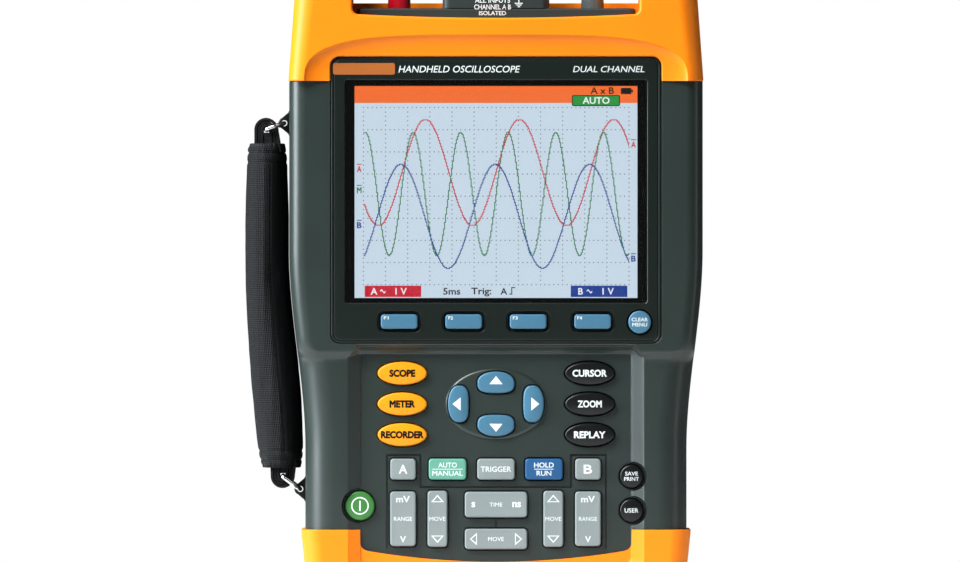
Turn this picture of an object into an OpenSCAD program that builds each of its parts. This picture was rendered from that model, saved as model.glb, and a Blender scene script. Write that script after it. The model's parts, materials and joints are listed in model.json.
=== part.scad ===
// Handheld two-channel oscilloscope with a hand strap and a tilt stand.
// It stands upright on its lower bumper. The origin is the middle of the resting face,
// +Z points to the input end and the display faces -Y.
// Most sub-parts are drawn face-on as (x, height, depth) and then stood upright.
// Depth is measured from the middle plane, positive towards the person reading the display.

/* [Case] */
// Height over both bumpers
total_h = 256; // [256:0.5:258]
// Width of the case beside the display
chest_w = 168.2; // [167.8:0.1:168.6]
// Width of the case beside the keypad
waist_w = 155.2; // [154.8:0.1:155.6]
// Depth of the display face
face_d = 28.5; // [28.4:0.1:28.6]
// Depth of the rails beside the keypad
rail_d = 27; // [26.8:0.1:27.2]
// Depth of the sunk keypad floor
tray_d = 23.5; // [23.4:0.1:23.6]
// Depth of the flat rear face, behind the middle plane
back_d = 27; // [26.9:0.1:27.1]
// Wall thickness of both case shells
wall = 2.3; // [2.1:0.1:2.4]

/* [Bumpers] */
// Top edge of the lower bumper at the sides
low_seam = 22.4; // [22:0.1:23]
// Top edge of the lower bumper's lip in the middle
lip_mid = 9.3; // [9:0.1:10]
// Lower edge of the upper bumper at the sides
high_seam = 204.8; // [204.5:0.1:205]
// Depth of the upper bumper's brow
brow_d = 32; // [31.8:0.1:32.2]
// Rear of both bumpers, behind the middle plane
bumper_back = 30; // [29.9:0.1:30.1]
// Half width of the input bay between the horns
bay_hw = 58.4; // [58.2:0.1:58.6]

/* [Display] */
// Width of the bezel plate
bezel_w = 134; // [133.8:0.1:134.2]
// Lower edge of the bezel plate
bezel_low = 98.4; // [98.3:0.1:98.5]
// Upper edge of the bezel plate
bezel_high = 214.4; // [214.3:0.1:214.5]
// Width of the screen opening
screen_w = 122.8; // [122.4:0.1:123]
// Height of the screen opening
screen_h = 90.6; // [90.2:0.1:90.8]
// Height of the screen's centre above the base
screen_mid = 159.9; // [159.7:0.1:160.1]

/* [Keys] */
// Gap between a key and its hole
key_gap = 0.35; // [0.3:0.05:0.4]
// Pitch of the four soft keys
soft_pitch = 26.2; // [26:0.1:26.4]
// Distance from the middle to both columns of oval keys
oval_x = 38.1; // [37.8:0.1:38.4]
// Height of the middle row of oval keys
oval_mid = 73.5; // [73.2:0.1:73.8]
// Vertical pitch of the oval keys
oval_pitch = 12.5; // [12.3:0.1:12.6]

/* [Inputs] */
// Distance of each coaxial input from the middle
coax_x = 39.5; // [39:0.1:40]
// Outer diameter of a coaxial input's mouth
coax_d = 9.6; // [9.5:0.1:9.7]
// Height of the coaxial mouths above the base
coax_top = 252; // [251:0.5:252]
// Spacing of the two 4 mm sockets
socket_pitch = 19; // [19:0.1:19.1]
// Bore of a 4 mm socket
socket_bore = 4; // [4:0.01:4.05]

/* [Strap and stand] */
// Height of the upper strap eye
eye_high = 188; // [187.5:0.5:188.5]
// Height of the lower strap eye
eye_low = 38.5; // [38:0.5:39]
// Width of the padded sleeve, from front to back
sleeve_w = 36; // [34:1:37]
// Radius of the wire of a strap ring
ring_r = 0.9; // [0.8:0.1:0.9]
// Height of the stand's hinge axis
hinge_h = 126; // [125:0.5:127]
// Hinge axis of the stand, behind the middle plane
hinge_d = 28.7; // [28.6:0.05:28.8]
// Diameter of a hinge pin
pin_d = 2.4; // [2.2:0.1:2.4]

/* [Hidden] */
$fn = 48;
corner_n = 3;
seam = 0.1;
part_d = 2;
waist_top = 55;
chest_bottom = 136;
case_low = 2.8;
case_high = 229;
bumper_wall = 2.6;
rear_edge_r = 8;
far = 300;

bezel_t = 2.2;
bezel_d = face_d + 0.1;
pocket_d = bezel_d - bezel_t;
bezel_gap = 0.35;
window_t = 1.5;
window_w = screen_w + 2.6;
window_h = screen_h + 2.8;
lcd_t = 6.3;

tray_hw = 55.2;
tray_top = 94.6;
lip_hw = 52;
lip_end = 13.7;
lip_d = tray_d + 1.4;

ceiling_d = tray_d - 2;
flange_t = 0.8;
push_flange_d = ceiling_d - 0.1;
rocker_flange_d = ceiling_d - 0.85;
pivot_d = 20.4;
rib_r = 1.7;
mat_d = 18.4;
mat_t = 0.8;
dome_h = 0.8;
pad_board_t = 1.6;
main_board_d = 7.6;
cap_d = tray_d + 2.4;
soft_d = bezel_d + 1.2;

input_d = -6;
panel_h = 234.4;
block_hw = 21.7;
block_h = 250;
neck_r = coax_d / 2 - 0.2;
coax_bore_r = 4.05;
socket_well_r = 4.2;

screws = [for (s = [-1, 1]) each [[s * 69, 56], [s * 72, 172]]];
side_d = -8;
eye_reach = 2.4;
eye_hole_r = 1.5;
ring_neck = 4.2;
insert_r = 3;
insert_l = 6;
port_h = 124;
optic_h = 152;
foot_t = 2;
pin_r = pin_d / 2;
stand_low = 30;
stand_hw = 46;
battery = [39.5, 28, 110];

// Centres of the two bars that the webbing wraps: x, height.
web_high = [-93.8, 185.3];
web_low = [-87.1, 43.8];
web_r = 4.8;
web_w = 24;

// Key table: name, x, height, width, cap height, outline, front plane, way of moving.
row_h = 47;
rocker_h = 26.8;
KEYS = concat(
  [for (i = [0:3]) [str("key_f", i + 1), soft_pitch * (i - 1.5), 107, 14.9, 5.9, "rect", soft_d, "push"]],
  [["key_clear", 58.4, 106.8, 9.2, 9.2, "oval", soft_d, "push"]],
  [for (k = [["key_scope", -1, 1], ["key_meter", -1, 0], ["key_recorder", -1, -1],
             ["key_cursor", 1, 1], ["key_zoom", 1, 0], ["key_replay", 1, -1]])
    [k[0], k[1] * oval_x, oval_mid + k[2] * oval_pitch, 20, 9.3, "oval", cap_d, "push"]],
  [for (k = [["key_up", 1], ["key_down", -1]])
    [k[0], 0, oval_mid + 8.8 * k[1], 15, 8.8, "oval", cap_d, "push"]],
  [for (k = [["key_left", -1], ["key_right", 1]])
    [k[0], 15.3 * k[1], oval_mid, 8.4, 15, "oval", cap_d, "push"]],
  [for (k = [["key_a", -37.8, 10.3], ["key_auto", -19.7, 15.2], ["key_trigger", 0, 15.2],
             ["key_hold", 19.5, 15.2], ["key_b", 37.4, 10.3]])
    [k[0], k[1], row_h, k[2], 8.5, "rect", cap_d, "push"]],
  [["key_power", -55.3, 32.1, 11.8, 11.8, "oval", cap_d, "push"],
   ["key_save", 55.1, 44.1, 9.4, 9.4, "oval", cap_d, "push"],
   ["key_user", 55.1, 30.2, 9.4, 9.4, "oval", cap_d, "push"],
   ["rocker_range_a", -37.8, rocker_h, 10.4, 22.2, "rect", cap_d, "tall"],
   ["rocker_move_a", -23.8, rocker_h, 8, 22.8, "rect", cap_d, "tall"],
   ["rocker_time", 0, 32.6, 25.3, 10.4, "rect", cap_d, "wide"],
   ["rocker_move_time", 0, 18.6, 25.3, 8.3, "rect", cap_d, "wide"],
   ["rocker_move_b", 23.3, rocker_h, 8, 22.8, "rect", cap_d, "tall"],
   ["rocker_range_b", 37.4, rocker_h, 10.4, 22.2, "rect", cap_d, "tall"]]);

// ---- outlines and placing ----

function mix(a, b, t) = a + (b - a) * t;
function ease(t) = let (c = min(1, max(0, t))) c * c * (3 - 2 * c);

// Half width, front depth and front edge radius of the case at a height.
function half_width(h) = mix(waist_w, chest_w, ease((h - waist_top) / (chest_bottom - waist_top))) / 2;
function front_depth(h) = mix(rail_d, face_d, ease((h - 91) / 6));
function front_edge_r(h) = mix(12, 6.3, ease((h - 88) / 12));

// How far a rounded end of radius r has drawn in, at a distance from that end.
function round_in(from_end, r) = from_end >= r ? 0 : r - sqrt(r * r - pow(r - from_end, 2));

function corner(x, y, r, from) = [
  for (i = [0:corner_n]) let (a = from + 90 * i / corner_n) [x + r * cos(a), y + r * sin(a)]];

// Level cross-section, anticlockwise from above, with its own front and rear edge radii.
function section(hw, front, back, rf, rb) = concat(
  corner(hw - rb, back - rb, rb, 0), corner(rb - hw, back - rb, rb, 90),
  corner(rf - hw, rf - front, rf, 180), corner(hw - rf, rf - front, rf, 270));

function rrect(w, h, r) = concat(
  corner(w / 2 - r, h / 2 - r, r, 0), corner(r - w / 2, h / 2 - r, r, 90),
  corner(r - w / 2, r - h / 2, r, 180), corner(w / 2 - r, r - h / 2, r, 270));
function ellipse(w, h, n = 40) = [for (i = [0:n - 1]) [w / 2 * cos(360 * i / n), h / 2 * sin(360 * i / n)]];
function band(hw, low, high) = [[-hw, low], [hw, low], [hw, high], [-hw, high]];

// An outline from its right half, which starts and may end on the middle line.
function both_sides(right) = concat(right,
  [for (i = [len(right) - 1:-1:0]) if (right[i][0] > 0) [-right[i][0], right[i][1]]]);

module upright() rotate([90, 0, 0]) children();
module slab(pts, from, to) translate([0, 0, from]) linear_extrude(to - from) polygon(pts);
module rod_x(x, h, d, r, l) translate([x, h, d]) rotate([0, 90, 0]) cylinder(h = l, r = r);
module rod_d(x, h, from, to, r) translate([x, h, from]) cylinder(h = to - from, r = r);
module rod_up(x, from, to, r) translate([x, -input_d, from]) cylinder(h = to - from, r = r);
module mirror_x() {
  children();
  mirror([1, 0, 0]) children();
}

// Solid through level rings of [height, outline], lowest ring first.
module loft(rings) {
  n = len(rings[0][1]);
  last = len(rings) - 1;
  sides = [for (i = [0:last - 1], j = [0:n - 1]) let (a = i * n + j, b = i * n + (j + 1) % n)
    each [[a, a + n, b + n], [a, b + n, b]]];
  floor_face = [for (j = [0:n - 1]) j];
  roof_face = [for (j = [n - 1:-1:0]) last * n + j];
  polyhedron([for (r = rings, p = r[1]) [p[0], p[1], r[0]]],
    concat(sides, [floor_face, roof_face]), convexity = 6);
}

// ---- case shells ----

case_levels = [30, 55, 66, 78, 88, 91, 94, 97, 104, 116, 136];
module case_loft(low, high, inset) loft([for (h = concat([low], case_levels, [high]))
  [h, section(half_width(h) - inset, front_depth(h) - inset, back_d - inset,
    front_edge_r(h) - inset, rear_edge_r - inset)]]);

function lip_height(x) = mix(lip_mid, lip_end, pow(x / lip_hw, 2));

// What the bumpers leave open on the front, narrowed by g.
function front_zone(g) = let (hw = bezel_w / 2 + bezel_gap - g, top = bezel_high + bezel_gap - g,
    r = 3.5 + bezel_gap - g)
  both_sides(concat([for (i = [0:6]) let (x = lip_hw * i / 6) [x, lip_height(x) + g]],
    [[lip_hw + 1.5 - g, lip_end + 1.3 + g], [tray_hw - g, low_seam + g], [95, low_seam + g],
     [95, high_seam - g], [hw, high_seam - g]],
    corner(hw - r, top - r, r, 0)));
function rear_zone(g) = band(95, low_seam + g, high_seam - g);

// The case narrows under the bumpers and is full size between them.
module case_body(zone) {
  case_loft(case_low, case_high, bumper_wall);
  intersection() {
    case_loft(case_low + 1, case_high - 1, 0);
    upright() slab(zone, -far, far);
  }
}
module case_cavity() {
  case_loft(case_low + wall, case_high - wall, bumper_wall + wall);
  case_loft(low_seam + wall, high_seam - wall, wall);
}

// The round keys low on the keypad sit in wells.
function has_well(k) = k[2] < row_h && k[3] == k[4];

module key_outline(k, grow) translate([k[1], k[2]])
  polygon(k[5] == "oval" ? ellipse(k[3] + 2 * grow, k[4] + 2 * grow)
    : rrect(k[3] + 2 * grow, k[4] + 2 * grow, 1.4 + grow));
module key_layer(k, grow, from, to) translate([0, 0, from]) linear_extrude(to - from) key_outline(k, grow);

// Outline of the keypad's crest, and the sunk floor with sloping sides inside it.
crest = both_sides([[tray_hw + 5.1, -10], [tray_hw + 5.1, 92], [tray_hw + 0.8, 96.6]]);
module keypad_tray() {
  hull() {
    slab(band(tray_hw, -10, tray_top), tray_d, tray_d + 0.01);
    slab(crest, rail_d, rail_d + 0.01);
  }
  slab(crest, rail_d, far);
}

module front_case() color([0.2, 0.24, 0.23]) difference() {
  case_body(front_zone(seam));
  difference() {
    case_cavity();
    upright() {
      slab(band(far, -10, far), ceiling_d, far);
      for (s = screws) rod_d(s[0], s[1], part_d, far, 4);
    }
  }
  upright() {
    slab(band(far, -10, far), -far, part_d);
    keypad_tray();
    translate([0, (bezel_low + bezel_high) / 2])
      slab(rrect(bezel_w + 2 * bezel_gap, bezel_high - bezel_low + 2 * bezel_gap, 3.5 + bezel_gap),
        pocket_d, far);
    slab(band(window_w / 2 + 0.2, screen_mid - window_h / 2 - 0.2, screen_mid + window_h / 2 + 0.2), 0, far);
    for (k = KEYS) key_layer(k, key_gap, 0, far);
    for (k = KEYS) if (has_well(k)) rod_d(k[1], k[2], tray_d, far, k[3] / 2 + 1.5);
    for (s = screws) rod_d(s[0], s[1], 0, 12, 1.6);
  }
}

module rear_case() color([0.2, 0.24, 0.23]) difference() {
  union() {
    difference() {
      case_body(rear_zone(seam));
      difference() {
        case_cavity();
        upright() {
          for (s = screws) rod_d(s[0], s[1], -far, part_d, 4);
          mirror_x() for (h = [eye_low, eye_high]) rod_x(half_width(h) - 7.5, h, side_d, 4.5, 9);
        }
      }
    }
    upright() mirror_x() {
      rod_x(stand_hw + 2.3, hinge_h, -hinge_d, 2.3, 4);
      translate([stand_hw + 2.3, hinge_h - 2.3, -hinge_d]) cube([4, 4.6, 3]);
    }
  }
  upright() {
    slab(band(far, -10, far), part_d, far);
    slab(band(battery[0] + 1, battery[1] - 1, battery[2] + 1), -far, -back_d + wall + 0.5);
    slab(band(battery[0] + 2.7, battery[1] - 2.2, battery[2] + 2.2), -far, -back_d + 1.2);
    rod_x(-stand_hw - 2.2, hinge_h, -hinge_d, 2.5, 2 * stand_hw + 4.4);
    rod_x(-far, hinge_h, -hinge_d, pin_r, 2 * far);
    for (s = screws) {
      rod_d(s[0], s[1], -far, part_d, 1.7);
      rod_d(s[0], s[1], -far, -back_d + 2.4, 3);
    }
    mirror_x() for (h = [eye_low, eye_high]) rod_x(half_width(h) - insert_l, h, side_d, insert_r, far);
    rod_x(70, port_h, input_d, 4.6, far);
    translate([70, optic_h - 4.2, input_d - 6.2]) cube([far, 8.4, 12.4]);
  }
  mirror_x() {
    rod_up(coax_x, case_high - 10, far, 4.2);
    rod_up(socket_pitch / 2, case_high - 10, far, 5.7);
  }
}

// ---- bumpers ----

module lower_loft() loft([for (h = [0, 0.5, 1.5, 3, 5, 7.5, 10, 24])
  let (draw = round_in(h, 5))
  [h, section(79.3 - 0.1 * (low_seam - h) - round_in(h, 10), 28 - draw, bumper_back - draw, 8, 8)]]);

module upper_loft() loft([for (t = [53, 41, 30, 18, 10, 7.5, 5, 3, 1.5, 0.5, 0])
  let (h = total_h - t, draw = round_in(t, 5))
  [h, section(84.5 - 0.072 * (53 - t) - round_in(t, 10), brow_d - draw, bumper_back - draw, 8, 8)]]);

module bumper_clearance() difference() {
  case_loft(case_low - seam, case_high, bumper_wall - seam);
  upright() slab(band(tray_hw - 0.5, -10, 40), tray_d + seam, far);
}

// The brow ends in a flat arch over the display.
brow_hw = 78;
brow_rise = 18.8;
function brow_edge(x) = high_seam + brow_rise * pow(1 - pow(min(1, x / brow_hw), 4), 1 / 2.8);
function bay_edge(x) = 230.4 + 1.6 * pow(x / bay_hw, 2);

module top_bumper() color([0.98, 0.7, 0.17]) difference() {
  upper_loft();
  bumper_clearance();
  upright() {
    slab(front_zone(0), part_d, far);
    slab(band(far, -10, high_seam), -far, part_d);
    slab(both_sides([for (t = [0, 0.25, 0.5, 0.7, 0.84, 0.93, 0.98, 1])
      [brow_hw * t, brow_edge(brow_hw * t)]]), brow_d - 2.7, far);
    slab(both_sides(concat([for (t = [0:0.25:0.75]) [bay_hw * t, bay_edge(bay_hw * t)]],
      [[bay_hw - 2, bay_edge(bay_hw - 2)], [bay_hw, bay_edge(bay_hw) + 2], [bay_hw, far]])), -22, far);
    slab(band(57, case_high - 1, 233), -21.5, 26.2);
    slab(band(bay_hw, 237.3, far), -far, -21);
  }
}

module bottom_bumper() color([0.98, 0.7, 0.17]) difference() {
  lower_loft();
  bumper_clearance();
  upright() {
    slab(front_zone(0), part_d, far);
    slab(rear_zone(0), -far, part_d);
    hull() {
      slab(band(tray_hw, lip_mid, low_seam + 1), lip_d, lip_d + 0.01);
      slab(band(tray_hw + 5.1, lip_mid - 5, low_seam + 1), 28.01, 28.02);
    }
  }
}

// ---- display and inputs ----

module display_bezel() color([0.15, 0.18, 0.17]) upright() difference() {
  translate([0, (bezel_low + bezel_high) / 2])
    slab(rrect(bezel_w, bezel_high - bezel_low, 3.5), pocket_d, bezel_d);
  translate([0, screen_mid]) slab(rrect(screen_w, screen_h, 1), 0, far);
  for (k = KEYS) if (k[2] > 100) key_layer(k, k[5] == "oval" ? 0.6 : 1.3, 0, far);
}
module display_window() color([0.1, 0.12, 0.13, 0.5]) upright() translate([0, screen_mid])
  slab(band(window_w / 2, -window_h / 2, window_h / 2), pocket_d - window_t, pocket_d);
module lcd_panel() color([0.84, 0.9, 0.96]) upright() translate([0, screen_mid])
  slab(band(60.5, -46.2, 46.2), pocket_d - window_t - lcd_t, pocket_d - window_t);

module input_panel() color([0.2, 0.23, 0.23]) difference() {
  upright() slab(band(56.8, case_high, panel_h), -21.3, 26);
  mirror_x() {
    rod_up(coax_x, 0, far, neck_r + 0.1);
    rod_up(socket_pitch / 2, 0, far, 5.7);
  }
}
module socket_block() color([0.2, 0.23, 0.23]) difference() {
  upright() slab(band(block_hw, panel_h, block_h), -14, 26);
  mirror_x() rod_up(socket_pitch / 2, 0, far, 5.7);
}

module coax_shell(tone) color(tone) difference() {
  union() {
    rod_up(0, case_high + 0.2, coax_top - 1, neck_r);
    rod_up(0, coax_top - 4.2, coax_top, coax_d / 2);
    translate([-5.4, -input_d, coax_top - 7]) rotate([0, 90, 0]) cylinder(h = 10.8, r = 1);
  }
  rod_up(0, 0, far, coax_bore_r);
}
module bnc_shell_a() translate([-coax_x, 0, 0]) coax_shell([0.8, 0.08, 0.13]);
module bnc_shell_b() translate([coax_x, 0, 0]) coax_shell([0.45, 0.5, 0.52]);

module bnc_cores() color([0.75, 0.75, 0.72]) mirror_x() difference() {
  union() {
    rod_up(coax_x, 217, case_high - wall - 0.1, 6);
    rod_up(coax_x, 220, 240, 4);
    rod_up(coax_x, 230, coax_top - 1, 2.4);
  }
  rod_up(coax_x, coax_top - 9, far, 0.7);
}

module socket(tone) color(tone) difference() {
  union() {
    rod_up(0, 221, block_h + 0.5, 5.5);
    rod_up(0, block_h, block_h + 1.2, 7);
  }
  difference() {
    rod_up(0, block_h - 19, far, socket_well_r);
    rod_up(0, block_h - 20, block_h - 0.4, 2.8);
  }
  rod_up(0, block_h - 18.4, far, socket_bore / 2);
}
module banana_jack_red() translate([-socket_pitch / 2, 0, 0]) socket([0.75, 0.08, 0.1]);
module banana_jack_black() translate([socket_pitch / 2, 0, 0]) socket([0.06, 0.06, 0.06]);

// ---- boards, battery and small hardware ----

module main_board() color([0.05, 0.35, 0.2]) upright()
  slab(band(64, 16, 214), main_board_d - 1.6, main_board_d);
module keypad_board() color([0.05, 0.35, 0.2]) upright()
  slab(band(60.5, 12, 112), mat_d - mat_t - pad_board_t, mat_d - mat_t);
module keypad_mat() color([0.7, 0.72, 0.7]) upright() {
  slab(band(60.5, 12, 112), mat_d - mat_t, mat_d);
  for (k = KEYS, s = k[7] == "push" ? [0] : [-1, 1])
    translate([k[1] + (k[7] == "wide" ? 8 * s : 0), k[2] + (k[7] == "tall" ? 7 * s : 0), mat_d])
      cylinder(h = dome_h, r1 = 2.6, r2 = 1.8);
}
module input_shield() color([0.75, 0.77, 0.78]) upright() difference() {
  slab(band(50, 150, 208), main_board_d, 15);
  slab(band(49.2, 150.8, 207.2), 0, 14.2);
}

module battery_pack() color([0.12, 0.12, 0.14]) upright()
  slab(band(battery[0], battery[1], battery[2]), -back_d + 2.4, 0.8);
module battery_cover() color([0.2, 0.24, 0.23]) upright() difference() {
  union() {
    slab(band(battery[0] + 2.5, battery[1] - 2, battery[2] + 2), -back_d, -back_d + 1.2);
    slab(band(battery[0] + 0.8, battery[1] - 0.8, battery[2] + 0.8), -back_d + 1, -back_d + 2.3);
  }
  for (h = [battery[1] + 8, battery[2] - 8])
    slab([for (p = rrect(18, 2, 0.9)) [p[0], p[1] + h]], -far, -back_d + 0.8);
}

module tilt_stand() color([0.2, 0.24, 0.23]) upright() difference() {
  union() {
    slab(band(stand_hw, stand_low + 10, hinge_h), -30.1, -27.3);
    translate([0, stand_low + 10]) slab(rrect(2 * stand_hw, 20, 9), -30.1, -27.3);
    rod_x(-stand_hw - 2, hinge_h, -hinge_d, 2.1, 2 * stand_hw + 4);
  }
  for (x = [-24, 0, 24]) slab([for (p = rrect(9, 62, 4)) [p[0] + x, p[1] + 78]], -far, 0);
  mirror_x() rod_x(36.5, hinge_h, -hinge_d, pin_r + 0.05, 20);
}
module stand_pins() color([0.7, 0.7, 0.7]) upright() mirror_x()
  rod_x(37, hinge_h, -hinge_d, pin_r, stand_hw + 6.3 - 37);

module case_screws() color([0.35, 0.35, 0.37]) upright() for (s = screws) difference() {
  union() {
    rod_d(s[0], s[1], -back_d + 0.4, -back_d + 2.4, 2.8);
    rod_d(s[0], s[1], -back_d + 2, 10, 1.5);
  }
  translate([s[0], s[1], -back_d]) cylinder(h = 1.6, r = 1.3, $fn = 6);
}

module strap_inserts() color([0.8, 0.65, 0.3]) upright() mirror_x()
  for (h = [eye_low, eye_high]) difference() {
    rod_x(half_width(h) - insert_l, h, side_d, insert_r, insert_l);
    rod_x(0, h, side_d, 2, far);
  }

module strap_lugs() color([0.06, 0.06, 0.07]) upright() for (h = [eye_low, eye_high]) {
  side = -half_width(h);
  difference() {
    union() {
      translate([side - 0.6, h - 5, side_d - 3.2]) cube([0.6, 10, 6.4]);
      translate([side - eye_reach, h - eye_reach, side_d - 2]) cube([eye_reach, 2 * eye_reach, 4]);
      rod_d(side - eye_reach, h, side_d - 2, side_d + 2, eye_reach);
      rod_x(side - 0.5, h, side_d, 1.95, 5.5);
    }
    rod_d(side - eye_reach, h, -far, far, eye_hole_r);
  }
}

// Straight length of ring wire between two points (x, depth), with a bead where it starts.
module wire(a, b) translate([a[0], 0, a[1]]) {
  sphere(r = ring_r + 0.08);
  rotate([0, atan2(b[0] - a[0], b[1] - a[1]), 0]) cylinder(h = norm(b - a), r = ring_r);
}

// Six-sided ring, narrow at the eye and as wide as the webbing at its far bar.
module strap_ring(eye, web) {
  reach = norm(web - eye);
  turn = atan2(web[1] - eye[1], web[0] - eye[0]);
  half = web_w / 2 + 2;
  corners = [[0, -ring_neck], [2.6, -half], [reach, -half], [reach, half], [2.6, half], [0, ring_neck]];
  translate([eye[0], eye[1], side_d]) rotate([0, 0, turn])
    for (i = [0:5]) wire(corners[i], corners[(i + 1) % 6]);
}
module strap_rings() color([0.8, 0.8, 0.8]) upright() {
  strap_ring([-half_width(eye_high) - eye_reach, eye_high], web_high);
  strap_ring([-half_width(eye_low) - eye_reach, eye_low], web_low);
}

// The sleeve lies along the case side, with an oval cross-section.
sleeve_low = 47;
sleeve_high = 180;
function sleeve_out(h) = 102.8 - 6 * pow(max(0, 138 - h) / 91, 1.8) - 0.8 * pow(max(0, h - 138) / 42, 2);
function sleeve_in(h) = half_width(h) + 1.2;
sleeve_levels = [sleeve_low, 50, 56, 66, 80, 95, 110, 125, 140, 155, 168, 176, sleeve_high];
module strap_sleeve() color([0.05, 0.04, 0.06]) loft([for (h = sleeve_levels)
  let (end = min(1, min(h - sleeve_low, sleeve_high - h) / 6), full = 0.86 + 0.14 * sin(90 * end),
       mid = (sleeve_in(h) + sleeve_out(h)) / 2)
  [h, [for (p = ellipse((sleeve_out(h) - sleeve_in(h)) * full, sleeve_w * full, 24))
    [p[0] - mid, p[1] - side_d]]]]);

module webbing_end(web, to, left, right) difference() {
  union() {
    rod_d(web[0], web[1], side_d - web_w / 2, side_d + web_w / 2, web_r);
    slab([[web[0] - web_r, web[1]], [left, to], [right, to], [web[0] + web_r, web[1]]],
      side_d - web_w / 2, side_d + web_w / 2);
  }
  rod_d(web[0], web[1], -far, far, ring_r + 0.1);
  slab(band(far, sleeve_low, sleeve_high), -far, far);
}
module strap_webbing() color([0.06, 0.06, 0.07]) upright() {
  webbing_end(web_high, sleeve_high, -98.4, -87.6);
  webbing_end(web_low, sleeve_low, -92, -81.6);
}

module dc_jack() color([0.1, 0.1, 0.1]) upright() {
  face = half_width(port_h) - 0.4;
  difference() {
    rod_x(face - 12, port_h, input_d, 4.5, 12);
    rod_x(face - 8, port_h, input_d, 2.9, 20);
  }
  rod_x(face - 8.5, port_h, input_d, 1, 8.5);
}
module optical_port() color([0.25, 0.05, 0.08]) upright()
  translate([half_width(optic_h) - 4.4, optic_h - 4, input_d - 6]) cube([4, 8, 12]);

module rear_feet() color([0.1, 0.1, 0.1]) upright() mirror_x()
  for (p = [[60, 12], [64, 222]]) rod_d(p[0], p[1], -bumper_back - foot_t, -bumper_back, 5);

// ---- keys ----

function key_tone(name) =
  len([for (n = ["key_scope", "key_meter", "key_recorder"]) if (n == name) n]) > 0 ? [0.98, 0.66, 0.1]
  : len([for (n = ["key_cursor", "key_zoom", "key_replay", "key_save", "key_user"]) if (n == name) n]) > 0
    ? [0.08, 0.08, 0.09]
  : name == "key_power" ? [0.31, 0.55, 0.29]
  : name == "key_auto" ? [0.35, 0.65, 0.55]
  : name == "key_hold" ? [0.15, 0.35, 0.6]
  : len([for (n = ["key_a", "key_b", "key_trigger"]) if (n == name) n]) > 0 || name[0] == "r"
    ? [0.63, 0.67, 0.68] : [0.31, 0.51, 0.63];

// A cap over a flange that is wider than its hole. A rocker also turns on a round rib.
module key(k) color(key_tone(k[0])) upright() {
  flange_d = k[7] == "push" ? push_flange_d : rocker_flange_d;
  key_layer(k, 0, flange_d - flange_t, k[6]);
  key_layer(k, 1, flange_d - flange_t, flange_d);
  if (k[7] == "tall") rod_x(k[1] - k[3] / 2 + 1, k[2], pivot_d, rib_r, k[3] - 2);
  if (k[7] == "wide") translate([k[1], k[2] + k[4] / 2 - 1, pivot_d]) rotate([90, 0, 0])
    cylinder(h = k[4] - 2, r = rib_r);
}

front_case();
rear_case();
top_bumper();
bottom_bumper();
display_bezel();
display_window();
lcd_panel();
input_panel();
socket_block();
bnc_cores();
bnc_shell_a();
bnc_shell_b();
banana_jack_red();
banana_jack_black();
main_board();
keypad_board();
keypad_mat();
input_shield();
battery_pack();
battery_cover();
tilt_stand();
stand_pins();
case_screws();
strap_inserts();
strap_lugs();
strap_rings();
strap_sleeve();
strap_webbing();
dc_jack();
optical_port();
rear_feet();
for (k = KEYS) key(k);
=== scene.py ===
"""Looks, light and camera for the handheld oscilloscope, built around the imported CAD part.

Shapes are drawn face-on in millimetres as (x, height, depth), and depth grows towards the reader.
put() turns such a point into the frame's metres. Rings of points are joined into closed meshes, and
holes are cut with solids whose mouths flare, so that every edge is rounded.
"""
import json
import math
from collections import namedtuple

import bmesh
import bpy
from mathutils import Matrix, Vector, noise
from mathutils.bvhtree import BVHTree

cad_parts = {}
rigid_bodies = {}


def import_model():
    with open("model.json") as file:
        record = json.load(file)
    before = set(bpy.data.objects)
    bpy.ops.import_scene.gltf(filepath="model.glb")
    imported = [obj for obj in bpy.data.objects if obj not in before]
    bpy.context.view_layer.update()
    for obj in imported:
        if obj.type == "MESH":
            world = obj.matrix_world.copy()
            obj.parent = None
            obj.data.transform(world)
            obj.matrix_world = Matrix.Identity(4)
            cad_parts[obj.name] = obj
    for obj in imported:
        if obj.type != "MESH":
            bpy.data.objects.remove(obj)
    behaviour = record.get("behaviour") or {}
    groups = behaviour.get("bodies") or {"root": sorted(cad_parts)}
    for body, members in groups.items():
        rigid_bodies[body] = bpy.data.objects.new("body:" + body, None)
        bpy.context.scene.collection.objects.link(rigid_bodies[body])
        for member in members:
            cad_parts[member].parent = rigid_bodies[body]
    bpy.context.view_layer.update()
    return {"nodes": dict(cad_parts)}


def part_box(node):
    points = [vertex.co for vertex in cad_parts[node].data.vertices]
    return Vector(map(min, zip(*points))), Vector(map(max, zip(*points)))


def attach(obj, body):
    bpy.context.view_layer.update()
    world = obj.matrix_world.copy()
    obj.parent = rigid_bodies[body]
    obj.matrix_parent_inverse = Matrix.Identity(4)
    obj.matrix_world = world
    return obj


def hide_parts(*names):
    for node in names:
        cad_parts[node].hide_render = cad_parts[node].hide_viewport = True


for obj in list(bpy.data.objects):
    bpy.data.objects.remove(obj)
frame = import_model()

MM = 0.001
FAR = 60
SIDES = (-1, 1)
Place = namedtuple("Place", "x mid width height rear front low high")


# ---- numbers and outlines ----

def mix(a, b, t):
    return a + (b - a) * t


def ease(t):
    c = min(1.0, max(0.0, t))
    return c * c * (3 - 2 * c)


def steps(count, low=0.0, high=1.0):
    return [mix(low, high, i / count) for i in range(count + 1)]


def put(point):
    x, height, depth = point
    return Vector((x * MM, -depth * MM, height * MM))


def place(node):
    """Where a CAD node is: its middle, width, height, depths, and lowest and highest height."""
    low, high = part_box(node)
    low, high = low / MM, high / MM
    return Place((low.x + high.x) / 2, (low.z + high.z) / 2, high.x - low.x, high.z - low.z,
                 -high.y, -low.y, low.z, high.z)


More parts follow.
